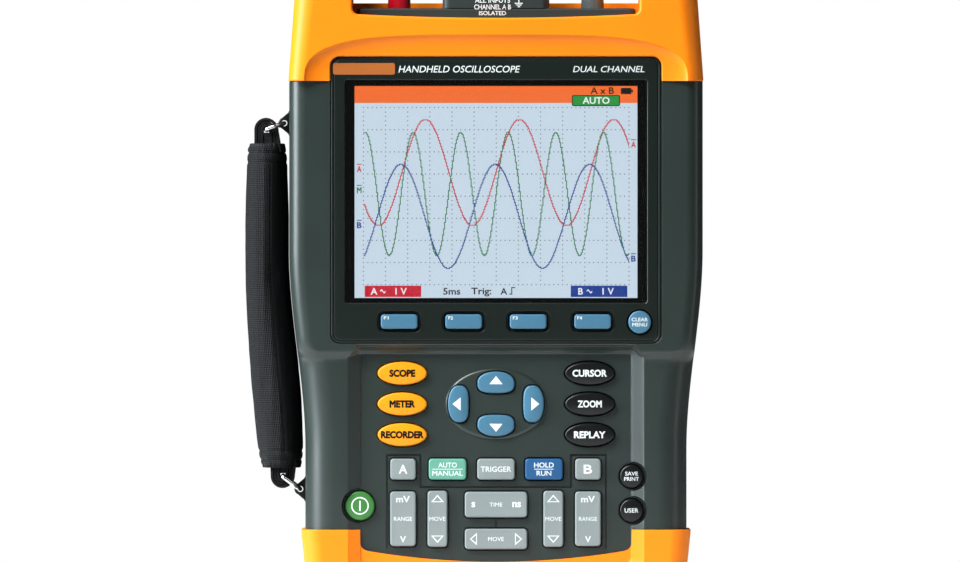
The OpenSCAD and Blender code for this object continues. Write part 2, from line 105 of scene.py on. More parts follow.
def arc(x, y, radius, start, turn=90, count=8):
    angles = [math.radians(start + turn * t) for t in steps(count)]
    return [(x + radius * math.cos(a), y + radius * math.sin(a)) for a in angles]


def rounded(width, height, radius, count=8, x=0, y=0):
    """Rounded rectangle, anticlockwise."""
    a, b = width / 2 - radius, height / 2 - radius
    points = []
    for sx, sy, start in ((1, 1, 0), (-1, 1, 90), (-1, -1, 180), (1, -1, 270)):
        points += arc(x + sx * a, y + sy * b, radius, start, 90, count)
    return points


def oval(width, height, count=64, x=0, y=0):
    angles = [2 * math.pi * i / count for i in range(count)]
    return [(x + width / 2 * math.cos(a), y + height / 2 * math.sin(a)) for a in angles]


def circle(radius, count=32, x=0, y=0):
    return oval(2 * radius, 2 * radius, count, x, y)


def box(left, right, low, high):
    return [(left, low), (right, low), (right, high), (left, high)]


def both_sides(right):
    """Closed outline from its right half, which may start and end on the middle line."""
    return right + [(-x, y) for x, y in reversed(right) if x > 0]


def squared(angle, power, width, height):
    """Point on an oval whose sides are fuller where the power is below 1."""
    c, s = math.cos(angle), math.sin(angle)
    return math.copysign(abs(c) ** power, c) * width, math.copysign(abs(s) ** power, s) * height


def panel(width, height, radius, x=0, y=0, count=8):
    """Function that gives a rounded rectangle grown by g."""
    return lambda g: rounded(width + 2 * g, height + 2 * g, radius + g, count, x, y)


def disc(radius, x, y, count=32):
    """Function that gives a circle grown by g."""
    return lambda g: circle(radius + g, count, x, y)


def grown(outline, by):
    return lambda g: outline(by + g)


def edge(radius, count=5):
    """Rounded edge from the side to the top, as pairs: how far in, and how far below the top."""
    angles = [math.pi / 2 * t for t in steps(count)]
    return [(radius * (1 - math.cos(a)), radius * (1 - math.sin(a))) for a in angles]


# ---- meshes ----

def add(name, data):
    """New object in the scene."""
    made = bpy.data.objects.new(name, data)
    bpy.context.scene.collection.objects.link(made)
    return made


def mesh_object(name, points, faces, look, weld=False):
    mesh = bpy.data.meshes.new(name)
    mesh.from_pydata([put(p) for p in points], [], faces)
    mesh.materials.append(look)
    shape = bmesh.new()
    shape.from_mesh(mesh)
    if weld:
        bmesh.ops.remove_doubles(shape, verts=shape.verts, dist=0.002 * MM)
    bmesh.ops.recalc_face_normals(shape, faces=shape.faces)
    shape.to_mesh(mesh)
    shape.free()
    return add(name, mesh)


def ring_faces(count, total, endless=False):
    """Faces between rings of count points each. An endless shape joins its last ring to its first."""
    faces = []
    for i in range(total if endless else total - 1):
        k = (i + 1) % total
        for j in range(count):
            n = (j + 1) % count
            faces.append((i * count + j, i * count + n, k * count + n, k * count + j))
    if not endless:
        faces += [tuple(range(count))[::-1], tuple(range((total - 1) * count, total * count))]
    return faces


def loft(name, rings, look, endless=False):
    """Closed solid through rings with equal numbers of points."""
    points = [p for ring in rings for p in ring]
    return mesh_object(name, points, ring_faces(len(rings[0]), len(rings), endless), look)


def layers(name, pairs, look=None, endless=False):
    """Solid through outlines that lie face-on at given depths: (outline, depth) pairs."""
    return loft(name, [[(x, y, depth) for x, y in outline] for outline, depth in pairs], look, endless)


def stepped(name, outline, profile, look=None):
    """Solid whose outline grows with depth: profile is (growth, depth) pairs."""
    return layers(name, [(outline(g), depth) for g, depth in profile], look)


def block(outline, low, high, look=None):
    return layers("block", [(outline, low), (outline, high)], look)


def slab(low, high, bottom=-20, top=260):
    """Everything between two depths."""
    return block(box(-120, 120, bottom, top), low, high)


def joined(name, objects):
    """One object from several meshes that share no space."""
    shape = bmesh.new()
    for part in objects:
        shape.from_mesh(part.data)
    mesh = bpy.data.meshes.new(name)
    shape.to_mesh(mesh)
    shape.free()
    for look in objects[0].data.materials:
        mesh.materials.append(look)
    for part in objects:
        bpy.data.objects.remove(part)
    return add(name, mesh)


def applied_mesh(part):
    """The object's mesh with its modifiers worked in."""
    bpy.context.view_layer.update()
    return bpy.data.meshes.new_from_object(part.evaluated_get(bpy.context.evaluated_depsgraph_get()))


def settle(part):
    mesh = applied_mesh(part)
    part.modifiers.clear()
    part.data = mesh
    return part


def combine(operation, part, tools):
    for tool in tools:
        change = part.modifiers.new("change", "BOOLEAN")
        change.operation = operation
        change.solver = "EXACT"
        change.object = tool
        settle(part)
        bpy.data.objects.remove(tool)
    return part


def cut(part, *tools):
    return combine("DIFFERENCE", part, tools)


def fuse(part, *tools):
    return combine("UNION", part, tools)


def trim(part, *tools):
    """What the part shares with the tools."""
    return combine("INTERSECT", part, tools)


def flared(outline, low, surface, radius):
    """Cutter through a face at a depth that leaves a rounded edge. outline(g) is the hole grown by g."""
    mouth = [(inward, surface - below) for inward, below in edge(radius)]
    return stepped("cutter", outline, [(0, low)] + mouth + [(radius, FAR)])


def crowned(name, outline, low, top, radius, crown, look):
    """Button cap: straight sides, a rounded edge and a slightly domed top."""
    pairs = [(outline(0), low)]
    pairs += [(outline(-inward), top - crown - below) for inward, below in edge(radius, 6)]
    rim = outline(-radius)
    mid_x = sum(p[0] for p in rim) / len(rim)
    mid_y = sum(p[1] for p in rim) / len(rim)
    for share in (0.85, 0.65, 0.4, 0.15):
        ring = [(mix(mid_x, x, share), mix(mid_y, y, share)) for x, y in rim]
        pairs.append((ring, top - crown * share * share))
    return layers(name, pairs, look)


def lathe(name, profile, x, depth, look, count=48):
    """Turned piece about an upright axis: profile is (radius, height) pairs, closed on itself."""
    rings = [[(x + r * a, h, depth + r * b) for r, h in profile] for a, b in circle(1, count)]
    return loft(name, rings, look, endless=True)


def turned(name, outline_at, profile, look=None):
    """Solid of round rings: outline_at(place, radius) gives one ring."""
    return loft(name, [outline_at(*pair) for pair in profile], look)


def rod_x(left, right, h, depth, radius, soft=0.0):
    """Round bar along x. Both ends are rounded where soft is above 0."""
    ends = [(0, soft), (soft * 0.4, soft * 0.35), (soft, 0)] if soft else [(0, 0)]
    profile = [(left + along, radius - inward) for along, inward in ends]
    profile += [(right - along, radius - inward) for along, inward in reversed(ends)]
    return turned("rod", lambda x, r: [(x, h + a, depth + b) for a, b in circle(r)], profile)


def tube(name, path, radius, look, sides=16):
    """Endless round wire along points."""
    path = [Vector(p) for p in path]
    rings = []
    normal = None
    for i, point in enumerate(path):
        along = (path[(i + 1) % len(path)] - path[i - 1]).normalized()
        if normal is None:
            normal = along.orthogonal().normalized()
        normal = (normal - along * normal.dot(along)).normalized()
        side = along.cross(normal)
        rings.append([tuple(point + radius * (normal * a + side * b)) for a, b in circle(1, sides)])
    return loft(name, rings, look, endless=True)


def tree_of(part):
    return BVHTree.FromPolygons([v.co for v in part.data.vertices], [p.vertices for p in part.data.polygons])


def finish_piece(part, node, body="case", angle=32, stands_in=True):
    """Smooth shading with crisp edges, then hides the CAD node it stands for and joins the piece to its body.
    """
    part.data.shade_smooth()
    part.data.set_sharp_from_angle(angle=math.radians(angle))
    even = part.modifiers.new("even", "WEIGHTED_NORMAL")
    even.keep_sharp = True
    even.weight = 80
    if stands_in:
        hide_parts(node)
    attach(part, body)


# ---- materials ----

def linear(rgb):
    return tuple((c / 255 / 12.92) if c <= 10 else ((c / 255 + 0.055) / 1.055) ** 2.4 for c in rgb) + (1.0,)


def feed(tree, made, **inputs):
    """Sets a node's inputs to numbers or colours, or links them to other nodes' outputs."""
    for name, value in inputs.items():
        socket = made.inputs[name.replace("_", " ")]
        if isinstance(value, bpy.types.NodeSocket):
            tree.links.new(value, socket)
        else:
            socket.default_value = value


def add_node(tree, kind, **inputs):
    made = tree.nodes.new("ShaderNode" + kind)
    feed(tree, made, **inputs)
    return made


def sum_of(tree, operation, *values):
    """Arithmetic on outputs or numbers."""
    made = tree.nodes.new("ShaderNodeMath")
    made.operation = operation
    for socket, value in zip(made.inputs, values):
        if isinstance(value, bpy.types.NodeSocket):
            tree.links.new(value, socket)
        else:
            socket.default_value = value
    return made.outputs[0]


def ramp(tree, factor, low, dark, high, light):
    """Colour that goes from dark to light as the factor goes from low to high."""
    made = add_node(tree, "ValToRGB", Fac=factor)
    for stop, position, colour in zip(made.color_ramp.elements, (low, high), (dark, light)):
        stop.position = position
        stop.color = colour
    return made.outputs["Color"]


def new_material(name):
    made = bpy.data.materials.new(name)
    made.use_nodes = True
    return made, made.node_tree, made.node_tree.nodes["Principled BSDF"]


def material(name, rgb, rough, grain=0.3, bump=0.02, shade=0.06, patch=24, gloss=0.5, **sockets):
    """Moulded surface: colour that drifts in soft patches, fine grain in the bump and a matching roughness.

    grain and patch are sizes in millimetres, bump is the grain's height in millimetres, shade is how far
    the colour drifts, and gloss is the specular level. Other arguments are sockets of the shader."""
    made, tree, shader = new_material(name)
    red, green, blue, _ = linear(rgb)
    where = add_node(tree, "TexCoord").outputs["Object"]
    clouds = add_node(tree, "TexNoise", Vector=where, Scale=1 / (patch * MM), Detail=3)
    dark = tuple(c * (1 - shade) for c in (red, green, blue)) + (1,)
    light = tuple(min(1, c * (1 + shade)) for c in (red, green, blue)) + (1,)
    colour = ramp(tree, clouds.outputs["Fac"], 0.3, dark, 0.7, light)
    grains = add_node(tree, "TexNoise", Vector=where, Scale=1 / (grain * MM), Detail=2).outputs["Fac"]
    relief = add_node(tree, "Bump", Strength=0.5, Distance=bump * MM, Height=grains)
    polish = add_node(tree, "MapRange", Value=grains, To_Min=max(0.02, rough - 0.05),
                      To_Max=min(1.0, rough + 0.05))
    feed(tree, shader, Base_Color=colour, Normal=relief.outputs["Normal"],
         Roughness=polish.outputs["Result"], Specular_IOR_Level=gloss, **sockets)
    return made


def metal(name, rgb, rough, grain, bump):
    return material(name, rgb, rough, grain, bump, Metallic=1.0)


def key_plastic(name, rgb, rough, shade, gloss):
    """Plastic with the finer grain of a key cap."""
    return material(name, rgb, rough, 0.4, 0.012, shade, gloss=gloss)


def glow(name, rgb, strength=1.0):
    """Lit pixels of the display: their own light, with the faint sheen of the cell."""
    return material(name, (8, 8, 9), 0.5, 0.3, 0.002, 0.02, Emission_Color=linear(rgb),
                    Emission_Strength=strength)


def weave(name, pitch, dark, light, relief, lay=None):
    """Cloth of crossing yarns whose crowns take the light colour, a painted glint. Its two directions come
    from the piece's attribute, or from its own place.
    """
    made = material(name, dark, 0.7, 0.25, 0.02, 0.2, patch=9, gloss=0.15)
    tree = made.node_tree
    if lay:
        source = add_node(tree, "Attribute")
        source.attribute_name = lay
        parts = add_node(tree, "SeparateXYZ", Vector=source.outputs["Vector"]).outputs
        across, along = parts["X"], parts["Y"]
    else:
        where = add_node(tree, "TexCoord")
        parts = add_node(tree, "SeparateXYZ", Vector=where.outputs["Object"]).outputs
        across, along = (sum_of(tree, "MULTIPLY", parts[axis], 1 / MM) for axis in "YZ")
    turn = 2 * math.pi / pitch
    yarns = [sum_of(tree, "SINE", sum_of(tree, "MULTIPLY", sum_of(tree, way, across, along), turn))
             for way in ("ADD", "SUBTRACT")]
    height = sum_of(tree, "MULTIPLY", *yarns)
    if lay:
        height = sum_of(tree, "MULTIPLY", height, parts["Z"])
    bump = add_node(tree, "Bump", Strength=1.0, Distance=relief * MM, Height=height)
    # Painted glint: the yarn crowns are painted in the lighter colour, on top of the real sheen from the
    # bump. The lining has no yarns and keeps the dark colour.
    feed(tree, tree.nodes["Principled BSDF"], Normal=bump.outputs["Normal"],
         Base_Color=ramp(tree, height, 0.45, linear(dark), 0.95, linear(light)))
    return made


CASE = material("case plastic", (33, 42, 39), 0.32, bump=0.03, gloss=0.42)
BUMPER = material("orange overmould", (229, 120, 13), 0.4, 0.5, shade=0.03, gloss=0.2)
BEZEL = material("bezel plastic", (16, 23, 20), 0.34, 0.25, gloss=0.25)
PANEL = material("input panel plastic", (40, 48, 47), 0.42, bump=0.03, gloss=0.25)
BLACK = material("black plastic", (10, 10, 12), 0.36, gloss=0.3)
MASK = material("printed window border", (8, 11, 10), 0.3, 0.4, 0.002, gloss=0.02)
RED = material("red plastic", (190, 14, 34), 0.28, 0.6, 0.008)
GREY = material("grey plastic", (84, 92, 94), 0.3, 0.6, 0.008)
BLUE_KEY = key_plastic("blue key", (58, 98, 120), 0.34, 0.04, 0.3)
YELLOW_KEY = key_plastic("yellow key", (206, 130, 12), 0.38, 0.03, 0.25)
BLACK_KEY = key_plastic("black key", (12, 14, 14), 0.3, 0.06, 0.3)
GREEN_KEY = key_plastic("green key", (50, 106, 48), 0.36, 0.04, 0.3)
TEAL_KEY = key_plastic("teal key", (84, 138, 120), 0.38, 0.04, 0.25)
NAVY_KEY = key_plastic("navy key", (32, 74, 114), 0.36, 0.04, 0.25)
GREY_KEY = key_plastic("grey key", (116, 124, 124), 0.4, 0.03, 0.25)
WHITE_INK = material("white ink", (196, 202, 202), 0.5, bump=0.004, shade=0.03)
BLACK_INK = material("black ink", (14, 12, 10), 0.5, bump=0.004, shade=0.03, gloss=0.1)
BADGE_INK = material("orange badge", (150, 84, 34), 0.35, bump=0.006, shade=0.05)
CHROME = metal("ring steel", (205, 206, 208), 0.14, 0.5, 0.004)
SCREW = material("screw steel", (60, 60, 63), 0.35, bump=0.01, Metallic=0.9)
PIN = metal("pin steel", (160, 162, 165), 0.25, 0.2, 0.008)
BRASS = metal("insert brass", (205, 168, 90), 0.3, 0.2, 0.01)
NICKEL = metal("contact metal", (196, 190, 170), 0.22, 0.3, 0.006)
TIN = metal("shield tin", (190, 193, 196), 0.35, 2.5, 0.02)
BOARD = material("circuit board", (18, 110, 62), 0.35, 1.2, 0.03, 0.15)
MAT = material("mat silicone", (176, 180, 176), 0.6, 0.4)
WRAP = material("battery wrap", (34, 34, 40), 0.3, 3, 0.06)
LENS = material("port lens", (50, 8, 14), 0.12, 0.6, 0.004, Coat_Weight=0.5)
FOOT = material("foot rubber", (24, 24, 24), 0.75, bump=0.05)
WINDOW = material("clear window", (250, 252, 252), 0.03, 2, 0.0005, 0.004, Transmission_Weight=1.0, IOR=1.45)
SLEEVE = weave("sleeve weave", 1.5, (6, 6, 8), (44, 48, 48), 0.14, lay="lay")
WEBBING = weave("strap webbing", 1.1, (7, 7, 8), (22, 22, 24), 0.08)
LCD_WHITE = glow("lit white", (205, 221, 236))
LCD_ORANGE = glow("lit orange", (252, 112, 40))
LCD_RED = glow("lit red", (205, 14, 44))
LCD_GREEN = glow("lit green", (20, 122, 48))
LCD_LEAF = glow("lit leaf", (38, 150, 60))
LCD_BLUE = glow("lit blue", (16, 56, 146))
LCD_DOT = glow("dark dots", (82, 96, 106))
LCD_INK = glow("dark figures", (16, 18, 24), 0.5)
LCD_PALE = glow("pale figures", (245, 248, 250))


# ---- the case's own lines, as the CAD model has them ----

WAIST, CHEST = 155.2, 168.2
WAIST_TOP, CHEST_LOW = 55, 136
STEP_LOW, STEP_RUN = 91.6, 3.2
KEYPAD_EDGE, DISPLAY_EDGE = 12, 6.8
REAR_EDGE = 8
TRAY_HALF = 55.2
TRAY_FLOOR = 23.5
RAIL = 27.0
FACE = 28.5
LOW_SEAM = 22.4
HIGH_SEAM = 204.8
LIP_HALF = 52
BUMPER_WALL = 2.6
SHELL_WALL = 2.3
CASE_LOW, CASE_HIGH = 2.8, 229
BACK = 27
SEAM = 0.22
BEZEL_GAP = 0.35
BEZEL_CORNER = 3.85
INPUT_DEPTH = -6
SIDE_DEPTH = -8
PART_DEPTH = 2
HINGE_HIGH = 126
HINGE_BACK = 28.7
BEYOND = 95
SCREWS = [(side * x, y) for side in SIDES for x, y in ((69, 56), (72, 172))]


def half_width(height):
    return mix(WAIST, CHEST, ease((height - WAIST_TOP) / (CHEST_LOW - WAIST_TOP))) / 2


def front_depth(height):
    return mix(RAIL, FACE, ease((height - STEP_LOW) / STEP_RUN))


def front_edge(height):
    """Radius of the case's front edge, which is softer beside the keypad."""
    return mix(KEYPAD_EDGE, DISPLAY_EDGE, ease((height - 90) / 8))


def section(half, front, back, front_radius, rear_radius, height, count=12):
    """Level ring around the case."""
    front_y, rear_y = front - front_radius, rear_radius - back
    outline = (arc(half - front_radius, front_y, front_radius, 0, 90, count)
               + arc(front_radius - half, front_y, front_radius, 90, 90, count)
               + arc(rear_radius - half, rear_y, rear_radius, 180, 90, count)
               + arc(half - rear_radius, rear_y, rear_radius, 270, 90, count))
    return [(x, height, depth) for x, depth in outline]


def case_loft(low, high, inset):
    """The case's outer shape between two heights, drawn in by inset."""
    heights = {low, high}
    heights |= {h for h in steps(78, 3.5, 228.5) if low + 0.5 < h < high - 0.5}
    heights |= {h for h in (STEP_LOW, 92.4, 93.2, 94.0, 94.8) if low < h < high}
    rings = [section(half_width(h) - inset, front_depth(h) - inset, BACK - inset,
                     front_edge(h) - inset, REAR_EDGE - inset, h) for h in sorted(heights)]
    return loft("case", rings, CASE)


def lip_height(x):
    """Height of the lip under the keypad, which rises towards its ends."""
    return mix(9.3, 13.7, (x / LIP_HALF) ** 2)


def front_zone(grow):
    """What the bumpers leave open on the front, narrowed by grow: from the lip up around the bezel."""
    bezel = place("display_bezel")
    half = bezel.width / 2 + BEZEL_GAP - grow
    top = bezel.high + BEZEL_GAP - grow
    radius = BEZEL_CORNER - grow
    lip = [(LIP_HALF * t, lip_height(LIP_HALF * t) + grow) for t in steps(14)]
    turn = arc(TRAY_HALF - 3.4 - grow, 17.2 + grow, 3.4, -78, 66, 6)
    sides = [(TRAY_HALF - grow, LOW_SEAM + grow), (BEYOND, LOW_SEAM + grow),
             (BEYOND, HIGH_SEAM - grow), (half, HIGH_SEAM - grow)]
    return both_sides(lip + turn + sides + arc(half - radius, top - radius, radius, 0))


def bezel_pocket():
    """Function that gives the outline that the bezel lies in, grown by g."""
    bezel = place("display_bezel")
    return panel(bezel.width + 2 * BEZEL_GAP, bezel.height + 2 * BEZEL_GAP, BEZEL_CORNER, 0, bezel.mid)


# ---- outlines of the keys ----

KEYS = [name for name in frame["nodes"] if name.startswith(("key_", "rocker_"))]
ROUND_IN_WELL = ("key_power", "key_save", "key_user")
BAR_KEYS = ("key_f", "rocker", "key_auto", "key_trigger", "key_hold")
ARROWS = {"key_up": 0, "key_left": 90, "key_down": 180, "key_right": 270}
ARROW_MIDDLE = 73.5
ARROW_MOUND = 0.8
WELL_DEPTH = 0.05
SKIRT = 1
BEZEL_KEYS_LOW = 100


def is_bar(name):
    return name.startswith(BAR_KEYS) or name in ("key_a", "key_b")


def in_bezel(name):
    return place(name).mid > BEZEL_KEYS_LOW


def cap_place(name):
    """Middle and size of the part of a key that is seen, without its skirt."""
    spot = place(name)
    return spot.x, spot.mid, spot.width - 2 * SKIRT, spot.height - 2 * SKIRT


def key_outline(name):
    """Function that gives the key's outline grown by g, in the place that the CAD model gives it."""
    x, y, width, height = cap_place(name)
    if is_bar(name):
        return lambda g: rounded(width + 2 * g, height + 2 * g, max(0.3, 1.4 + g), 6, x, y)
    if name in ARROWS:
        return lambda g: arrow_outline(x, y, width + 2 * g, height + 2 * g)
    return lambda g: oval(width + 2 * g, height + 2 * g, 64, x, y)


def arrow_outline(x, y, width, height, count=64):
    """Oval key whose side towards the middle of the arrow group is flatter than its outer side."""
    outward = Vector((x, y - ARROW_MIDDLE)).normalized()
    points = []
    for i in range(count):
        angle = 2 * math.pi * i / count
        outside = math.cos(angle) * outward.x + math.sin(angle) * outward.y > 0
        along, up = squared(angle, 0.95 if outside else 0.62, width / 2, height / 2)
        points.append((x + along, y + up))
    return points


# ---- front case ----

GROUP_LINES = [
    [(-44.3, 14.6), (-44.3, 52.8), (-30.7, 52.8), (-30.7, 39.8),
     (30.5, 39.8), (30.5, 52.8), (44.7, 52.8), (44.7, 14.6)],
    [(0, 27.2), (0, 23.2)]]
LINE_HALF = 0.4
LINE_DEPTH = 0.9
HOLE_GAP = 0.45


def case_cavity():
    """The hollow of the whole case."""
    inner = case_loft(CASE_LOW + SHELL_WALL, CASE_HIGH - SHELL_WALL, BUMPER_WALL + SHELL_WALL)
    return fuse(inner, case_loft(LOW_SEAM + SHELL_WALL, HIGH_SEAM - SHELL_WALL, SHELL_WALL))


def case_cavity_front():
    """The hollow of the case, which stops behind the keypad floor and the display's ledge."""
    return cut(case_cavity(), slab(21.5, FAR, top=98), slab(24.0, FAR, bottom=97.5))


def tray_cutter():
    """Keypad recess: sloping sides, slanted top corners and a soft ramp up to the display."""
    def outline(half, shoulder, corner, top):
        return both_sides([(half, -10), (half, shoulder), (corner, top)])
    foot = 0.8
    pairs = [(outline(TRAY_HALF - foot, 92.6, 53.8, 93.4), TRAY_FLOOR)]
    pairs += [(outline(TRAY_HALF - below, 93.4, 54.4, 94.4 - below), TRAY_FLOOR + inward * 0.6)
              for inward, below in edge(foot)[1:]]
    for t in steps(6):
        pairs.append((outline(mix(TRAY_HALF + 0.5, 59.9, t), mix(93.4, 92.4, t), mix(54.6, 55.6, t),
                              mix(94.8, 96.6, t ** 0.8)), mix(TRAY_FLOOR + foot, RAIL - 0.3, t)))
    pairs.append((outline(60.2, 92.3, 55.8, 96.75), RAIL - 0.06))
    pairs.append((outline(60.5, 92.2, 55.9, 96.9), RAIL + 0.02))
    brink = ((55.9, 97.3, 27.8), (56.0, 97.7, 28.3), (56.1, 98.2, 28.52), (56.1, 98.3, FAR))
    pairs += [(outline(60.5, 92.1, corner, top), depth) for corner, top, depth in brink]
    return layers("cutter", pairs)


def groove(path):
    """Cutter for a fine line in the keypad floor."""
    path = [Vector(point) for point in path]
    ways = [(after - before).normalized() for before, after in zip(path, path[1:])]
    left, right = [], []
    for here, before, after in zip(path, ways[:1] + ways, ways + ways[-1:]):
        side = Vector((-before.y - after.y, before.x + after.x))
        side *= LINE_HALF / max(0.3, side.length_squared / 2)
        left.append(tuple(here + side))
        right.append(tuple(here - side))
    return block(left + right[::-1], TRAY_FLOOR - LINE_DEPTH, TRAY_FLOOR + 0.6)


def seam_step(inset, top):
    """Everything inside the wall at the parting plane, up to a depth: the tongue and its rebate."""
    return trim(case_loft(LOW_SEAM + inset, HIGH_SEAM - inset, inset), slab(-FAR, top))


def arrow_mound():
    """Low oval rise that the arrow keys come through."""
    profile = [(0, -0.5), (-0.1, 0.15), (-0.4, 0.5), (-0.9, 0.72), (-1.6, ARROW_MOUND)]
    return stepped("mound", lambda g: oval(41.4 + 2 * g, 29.2 + 2 * g, 96, 0, ARROW_MIDDLE),
                   [(g, TRAY_FLOOR + rise) for g, rise in profile])


def key_well(name):
    """Shallow round well with a flared wall."""
    x, y, width, _ = cap_place(name)
    profile = [(1.0, TRAY_FLOOR - WELL_DEPTH), (1.25, TRAY_FLOOR + 0.5), (1.6, RAIL), (1.8, FAR)]
    return stepped("cutter", disc(width / 2, x, y, 64), profile)


def key_hole(name):
    """Opening that the key comes through, with a rounded edge."""
    level = TRAY_FLOOR
    if in_bezel(name):
        level = place("display_bezel").rear
    elif name in ARROWS:
        level += ARROW_MOUND
    elif name in ROUND_IN_WELL:
        level -= WELL_DEPTH
    return flared(grown(key_outline(name), HOLE_GAP), -2, level, 0.35)


def front_case():
    """Front shell: keypad recess, display pocket, key openings, and a tongue that enters the rear shell."""
    full = case_loft(CASE_LOW + 1, CASE_HIGH - 1, 0)
    trim(full, block(front_zone(SEAM), -FAR, FAR))
    body = case_loft(CASE_LOW, CASE_HIGH, BUMPER_WALL)
    fuse(body, full)
    cut(body, tray_cutter())
    fuse(body, arrow_mound())
    cut(body, flared(bezel_pocket(), place("display_bezel").rear, FACE, 0.18))
    window = place("display_window")
    cut(body, block(rounded(window.width + 0.4, window.height + 0.4, 0.5, 2, 0, window.mid), 0, FAR))
    cut(body, *[groove(path) for path in GROUP_LINES])
    cut(body, joined("wells", [key_well(name) for name in ROUND_IN_WELL]))
    cut(body, joined("holes", [key_hole(name) for name in KEYS]))
    cut(body, case_cavity_front())
    cut(body, seam_step(1.15, PART_DEPTH + 1.4))
    cut(body, slab(-FAR, PART_DEPTH))
    finish_piece(body, "front_case")


# ---- bumpers ----

TOP = 256.0
TOP_LENGTH = 51.2
BUMPER_BACK = 30
UPPER_FRONT, LOWER_FRONT = 32, 28
UPPER_HALF, LOWER_HALF = 84.5, 79.3
UPPER_DRAFT, LOWER_DRAFT = 0.072, 0.1
END_ROUND, SIDE_ROUND = 5, 10
BROW_FLOOR = 28.9
BAY_HALF = 58.4
BAY_TOP = 290


def round_in(from_end, radius):
    """How far a rounded end has drawn in, at a distance from that end."""
    return 0 if from_end >= radius else radius - math.sqrt(radius * radius - (radius - from_end) ** 2)


def lower_loft():
    """The bottom bumper's outer shape, with a rounded bottom and a rounded upper edge."""
    rings = []
    for h in (0, 0.2, 0.6, 1.2, 2, 3, 4, 5, 6.5, 8, 10, 14, 18, 21.6, 22.1, 22.32, LOW_SEAM):
        lip = round_in(LOW_SEAM - h, 0.35)
        draw = round_in(h, END_ROUND) + lip
        half = LOWER_HALF - LOWER_DRAFT * (LOW_SEAM - h) - round_in(h, SIDE_ROUND) - lip
        rings.append(section(half, LOWER_FRONT - draw, BUMPER_BACK - draw, REAR_EDGE, REAR_EDGE, h))
    return loft("bottom_bumper", rings, BUMPER)


def upper_loft():
    """The top bumper's outer shape, with a rounded top and a rounded lower edge."""
    rings = []
    for t in (TOP_LENGTH, 51.12, 51, 50.8, 50.5, 50, 49, *range(46, 9, -4), 8.8, 7.5, 6.2, 5, 4.2, 3, 1.8, 1,
              0.5, 0.15, 0):
        lip = round_in(TOP_LENGTH - t, 0.4)
        draw = round_in(t, END_ROUND) + lip
        half = UPPER_HALF - UPPER_DRAFT * (53 - t) - round_in(t, SIDE_ROUND) - lip
        front_radius = mix(8.2, 7.0, ease((t - 15) / 36))
        rings.append(section(half, UPPER_FRONT - draw, BUMPER_BACK - draw, front_radius, REAR_EDGE, TOP - t))
    return loft("top_bumper", rings, BUMPER)


def brow(half, rise):
    """Flat arch over the display, centred on the seam."""
    right = []
    for t in steps(40):
        x = half * math.cos(math.pi / 2 * (1 - t)) ** 0.5
        right.append((x, HIGH_SEAM + rise * max(0.0, 1 - (x / half) ** 4) ** (1 / 2.8)))
    return both_sides(right + [(half, HIGH_SEAM - 12)])


def bay_edge(x):
    """Height of the bay's lower edge, which sags towards the middle."""
    return 230.4 + 1.6 * (x / BAY_HALF) ** 2


def bay_outline(grow):
    """The opening between the horns, grown."""
    half = BAY_HALF + grow
    radius = 2.6 + grow
    start = half - radius
    bottom = [(half * t, bay_edge(half * t) - grow) for t in steps(12, 0, start / half)]
    corner = arc(start, bay_edge(start) - grow + radius, radius, -88, 88, 6)
    return both_sides(bottom + corner + [(half, BAY_TOP)])


def top_bumper():
    """Upper bumper: sunk arch over the display, bezel pocket, and a bay for the inputs."""
    body = upper_loft()
    cut(body, case_loft(CASE_LOW - 0.1, CASE_HIGH, BUMPER_WALL - 0.1))
    cut(body, slab(-FAR, FAR, top=HIGH_SEAM))
    arch = [(brow(mix(64, 78, 1 - below), mix(5.5, 18.8, 1 - below)),
             BROW_FLOOR + (UPPER_FRONT - BROW_FLOOR) * inward) for inward, below in edge(1, 12)]
    arch += [(brow(78.02, 18.82), depth) for depth in (32.02, FAR)]
    cut(body, layers("cutter", arch))
    cut(body, flared(bezel_pocket(), PART_DEPTH, BROW_FLOOR, 0.45))
    cut(body, flared(bay_outline, -22, UPPER_FRONT, 1.0))
    cut(body, block(box(-57, 57, CASE_HIGH - 1, 233), -21.5, 26.2))
    cut(body, block(box(-BAY_HALF, BAY_HALF, 237.3, BAY_TOP), -FAR, -21.9))
    finish_piece(body, "top_bumper")


def bottom_bumper():
    """Lower bumper: a curved lip round the foot of the keypad recess."""
    def recess(half, low, radius):
        return both_sides([(0, low)] + arc(half - radius, low + radius, radius, -90) + [(half, 40)])
    body = lower_loft()
    clearance = case_loft(CASE_LOW - 0.1, CASE_HIGH, BUMPER_WALL - 0.1)
    cut(clearance, block(box(0.5 - TRAY_HALF, TRAY_HALF - 0.5, -10, 40), TRAY_FLOOR + 0.1, FAR))
    cut(body, clearance)
    cut(body, block(front_zone(0), PART_DEPTH, FAR))
    cut(body, block(box(-BEYOND, BEYOND, LOW_SEAM, 100), -FAR, FAR))
    lip = TRAY_FLOOR + 1.4
    pairs = [(recess(TRAY_HALF - 0.6 * below, 7.8 + below, 3.2), lip + 0.5 * inward)
             for inward, below in edge(1)]
    pairs += [(recess(mix(TRAY_HALF, 60.0, t), mix(7.8, 4.2, t), mix(3.2, 7, t)), mix(lip + 0.5, 27.8, t))
              for t in (0.33, 0.66, 1)]
    pairs.append((recess(60.2, 4.0, 7.1), LOWER_FRONT - 0.03))
    pairs += [(recess(60.7, 3.6, 7.4), depth) for depth in (LOWER_FRONT + 0.03, FAR)]
    cut(body, layers("cutter", pairs))
    finish_piece(body, "bottom_bumper")


# ---- display bezel ----

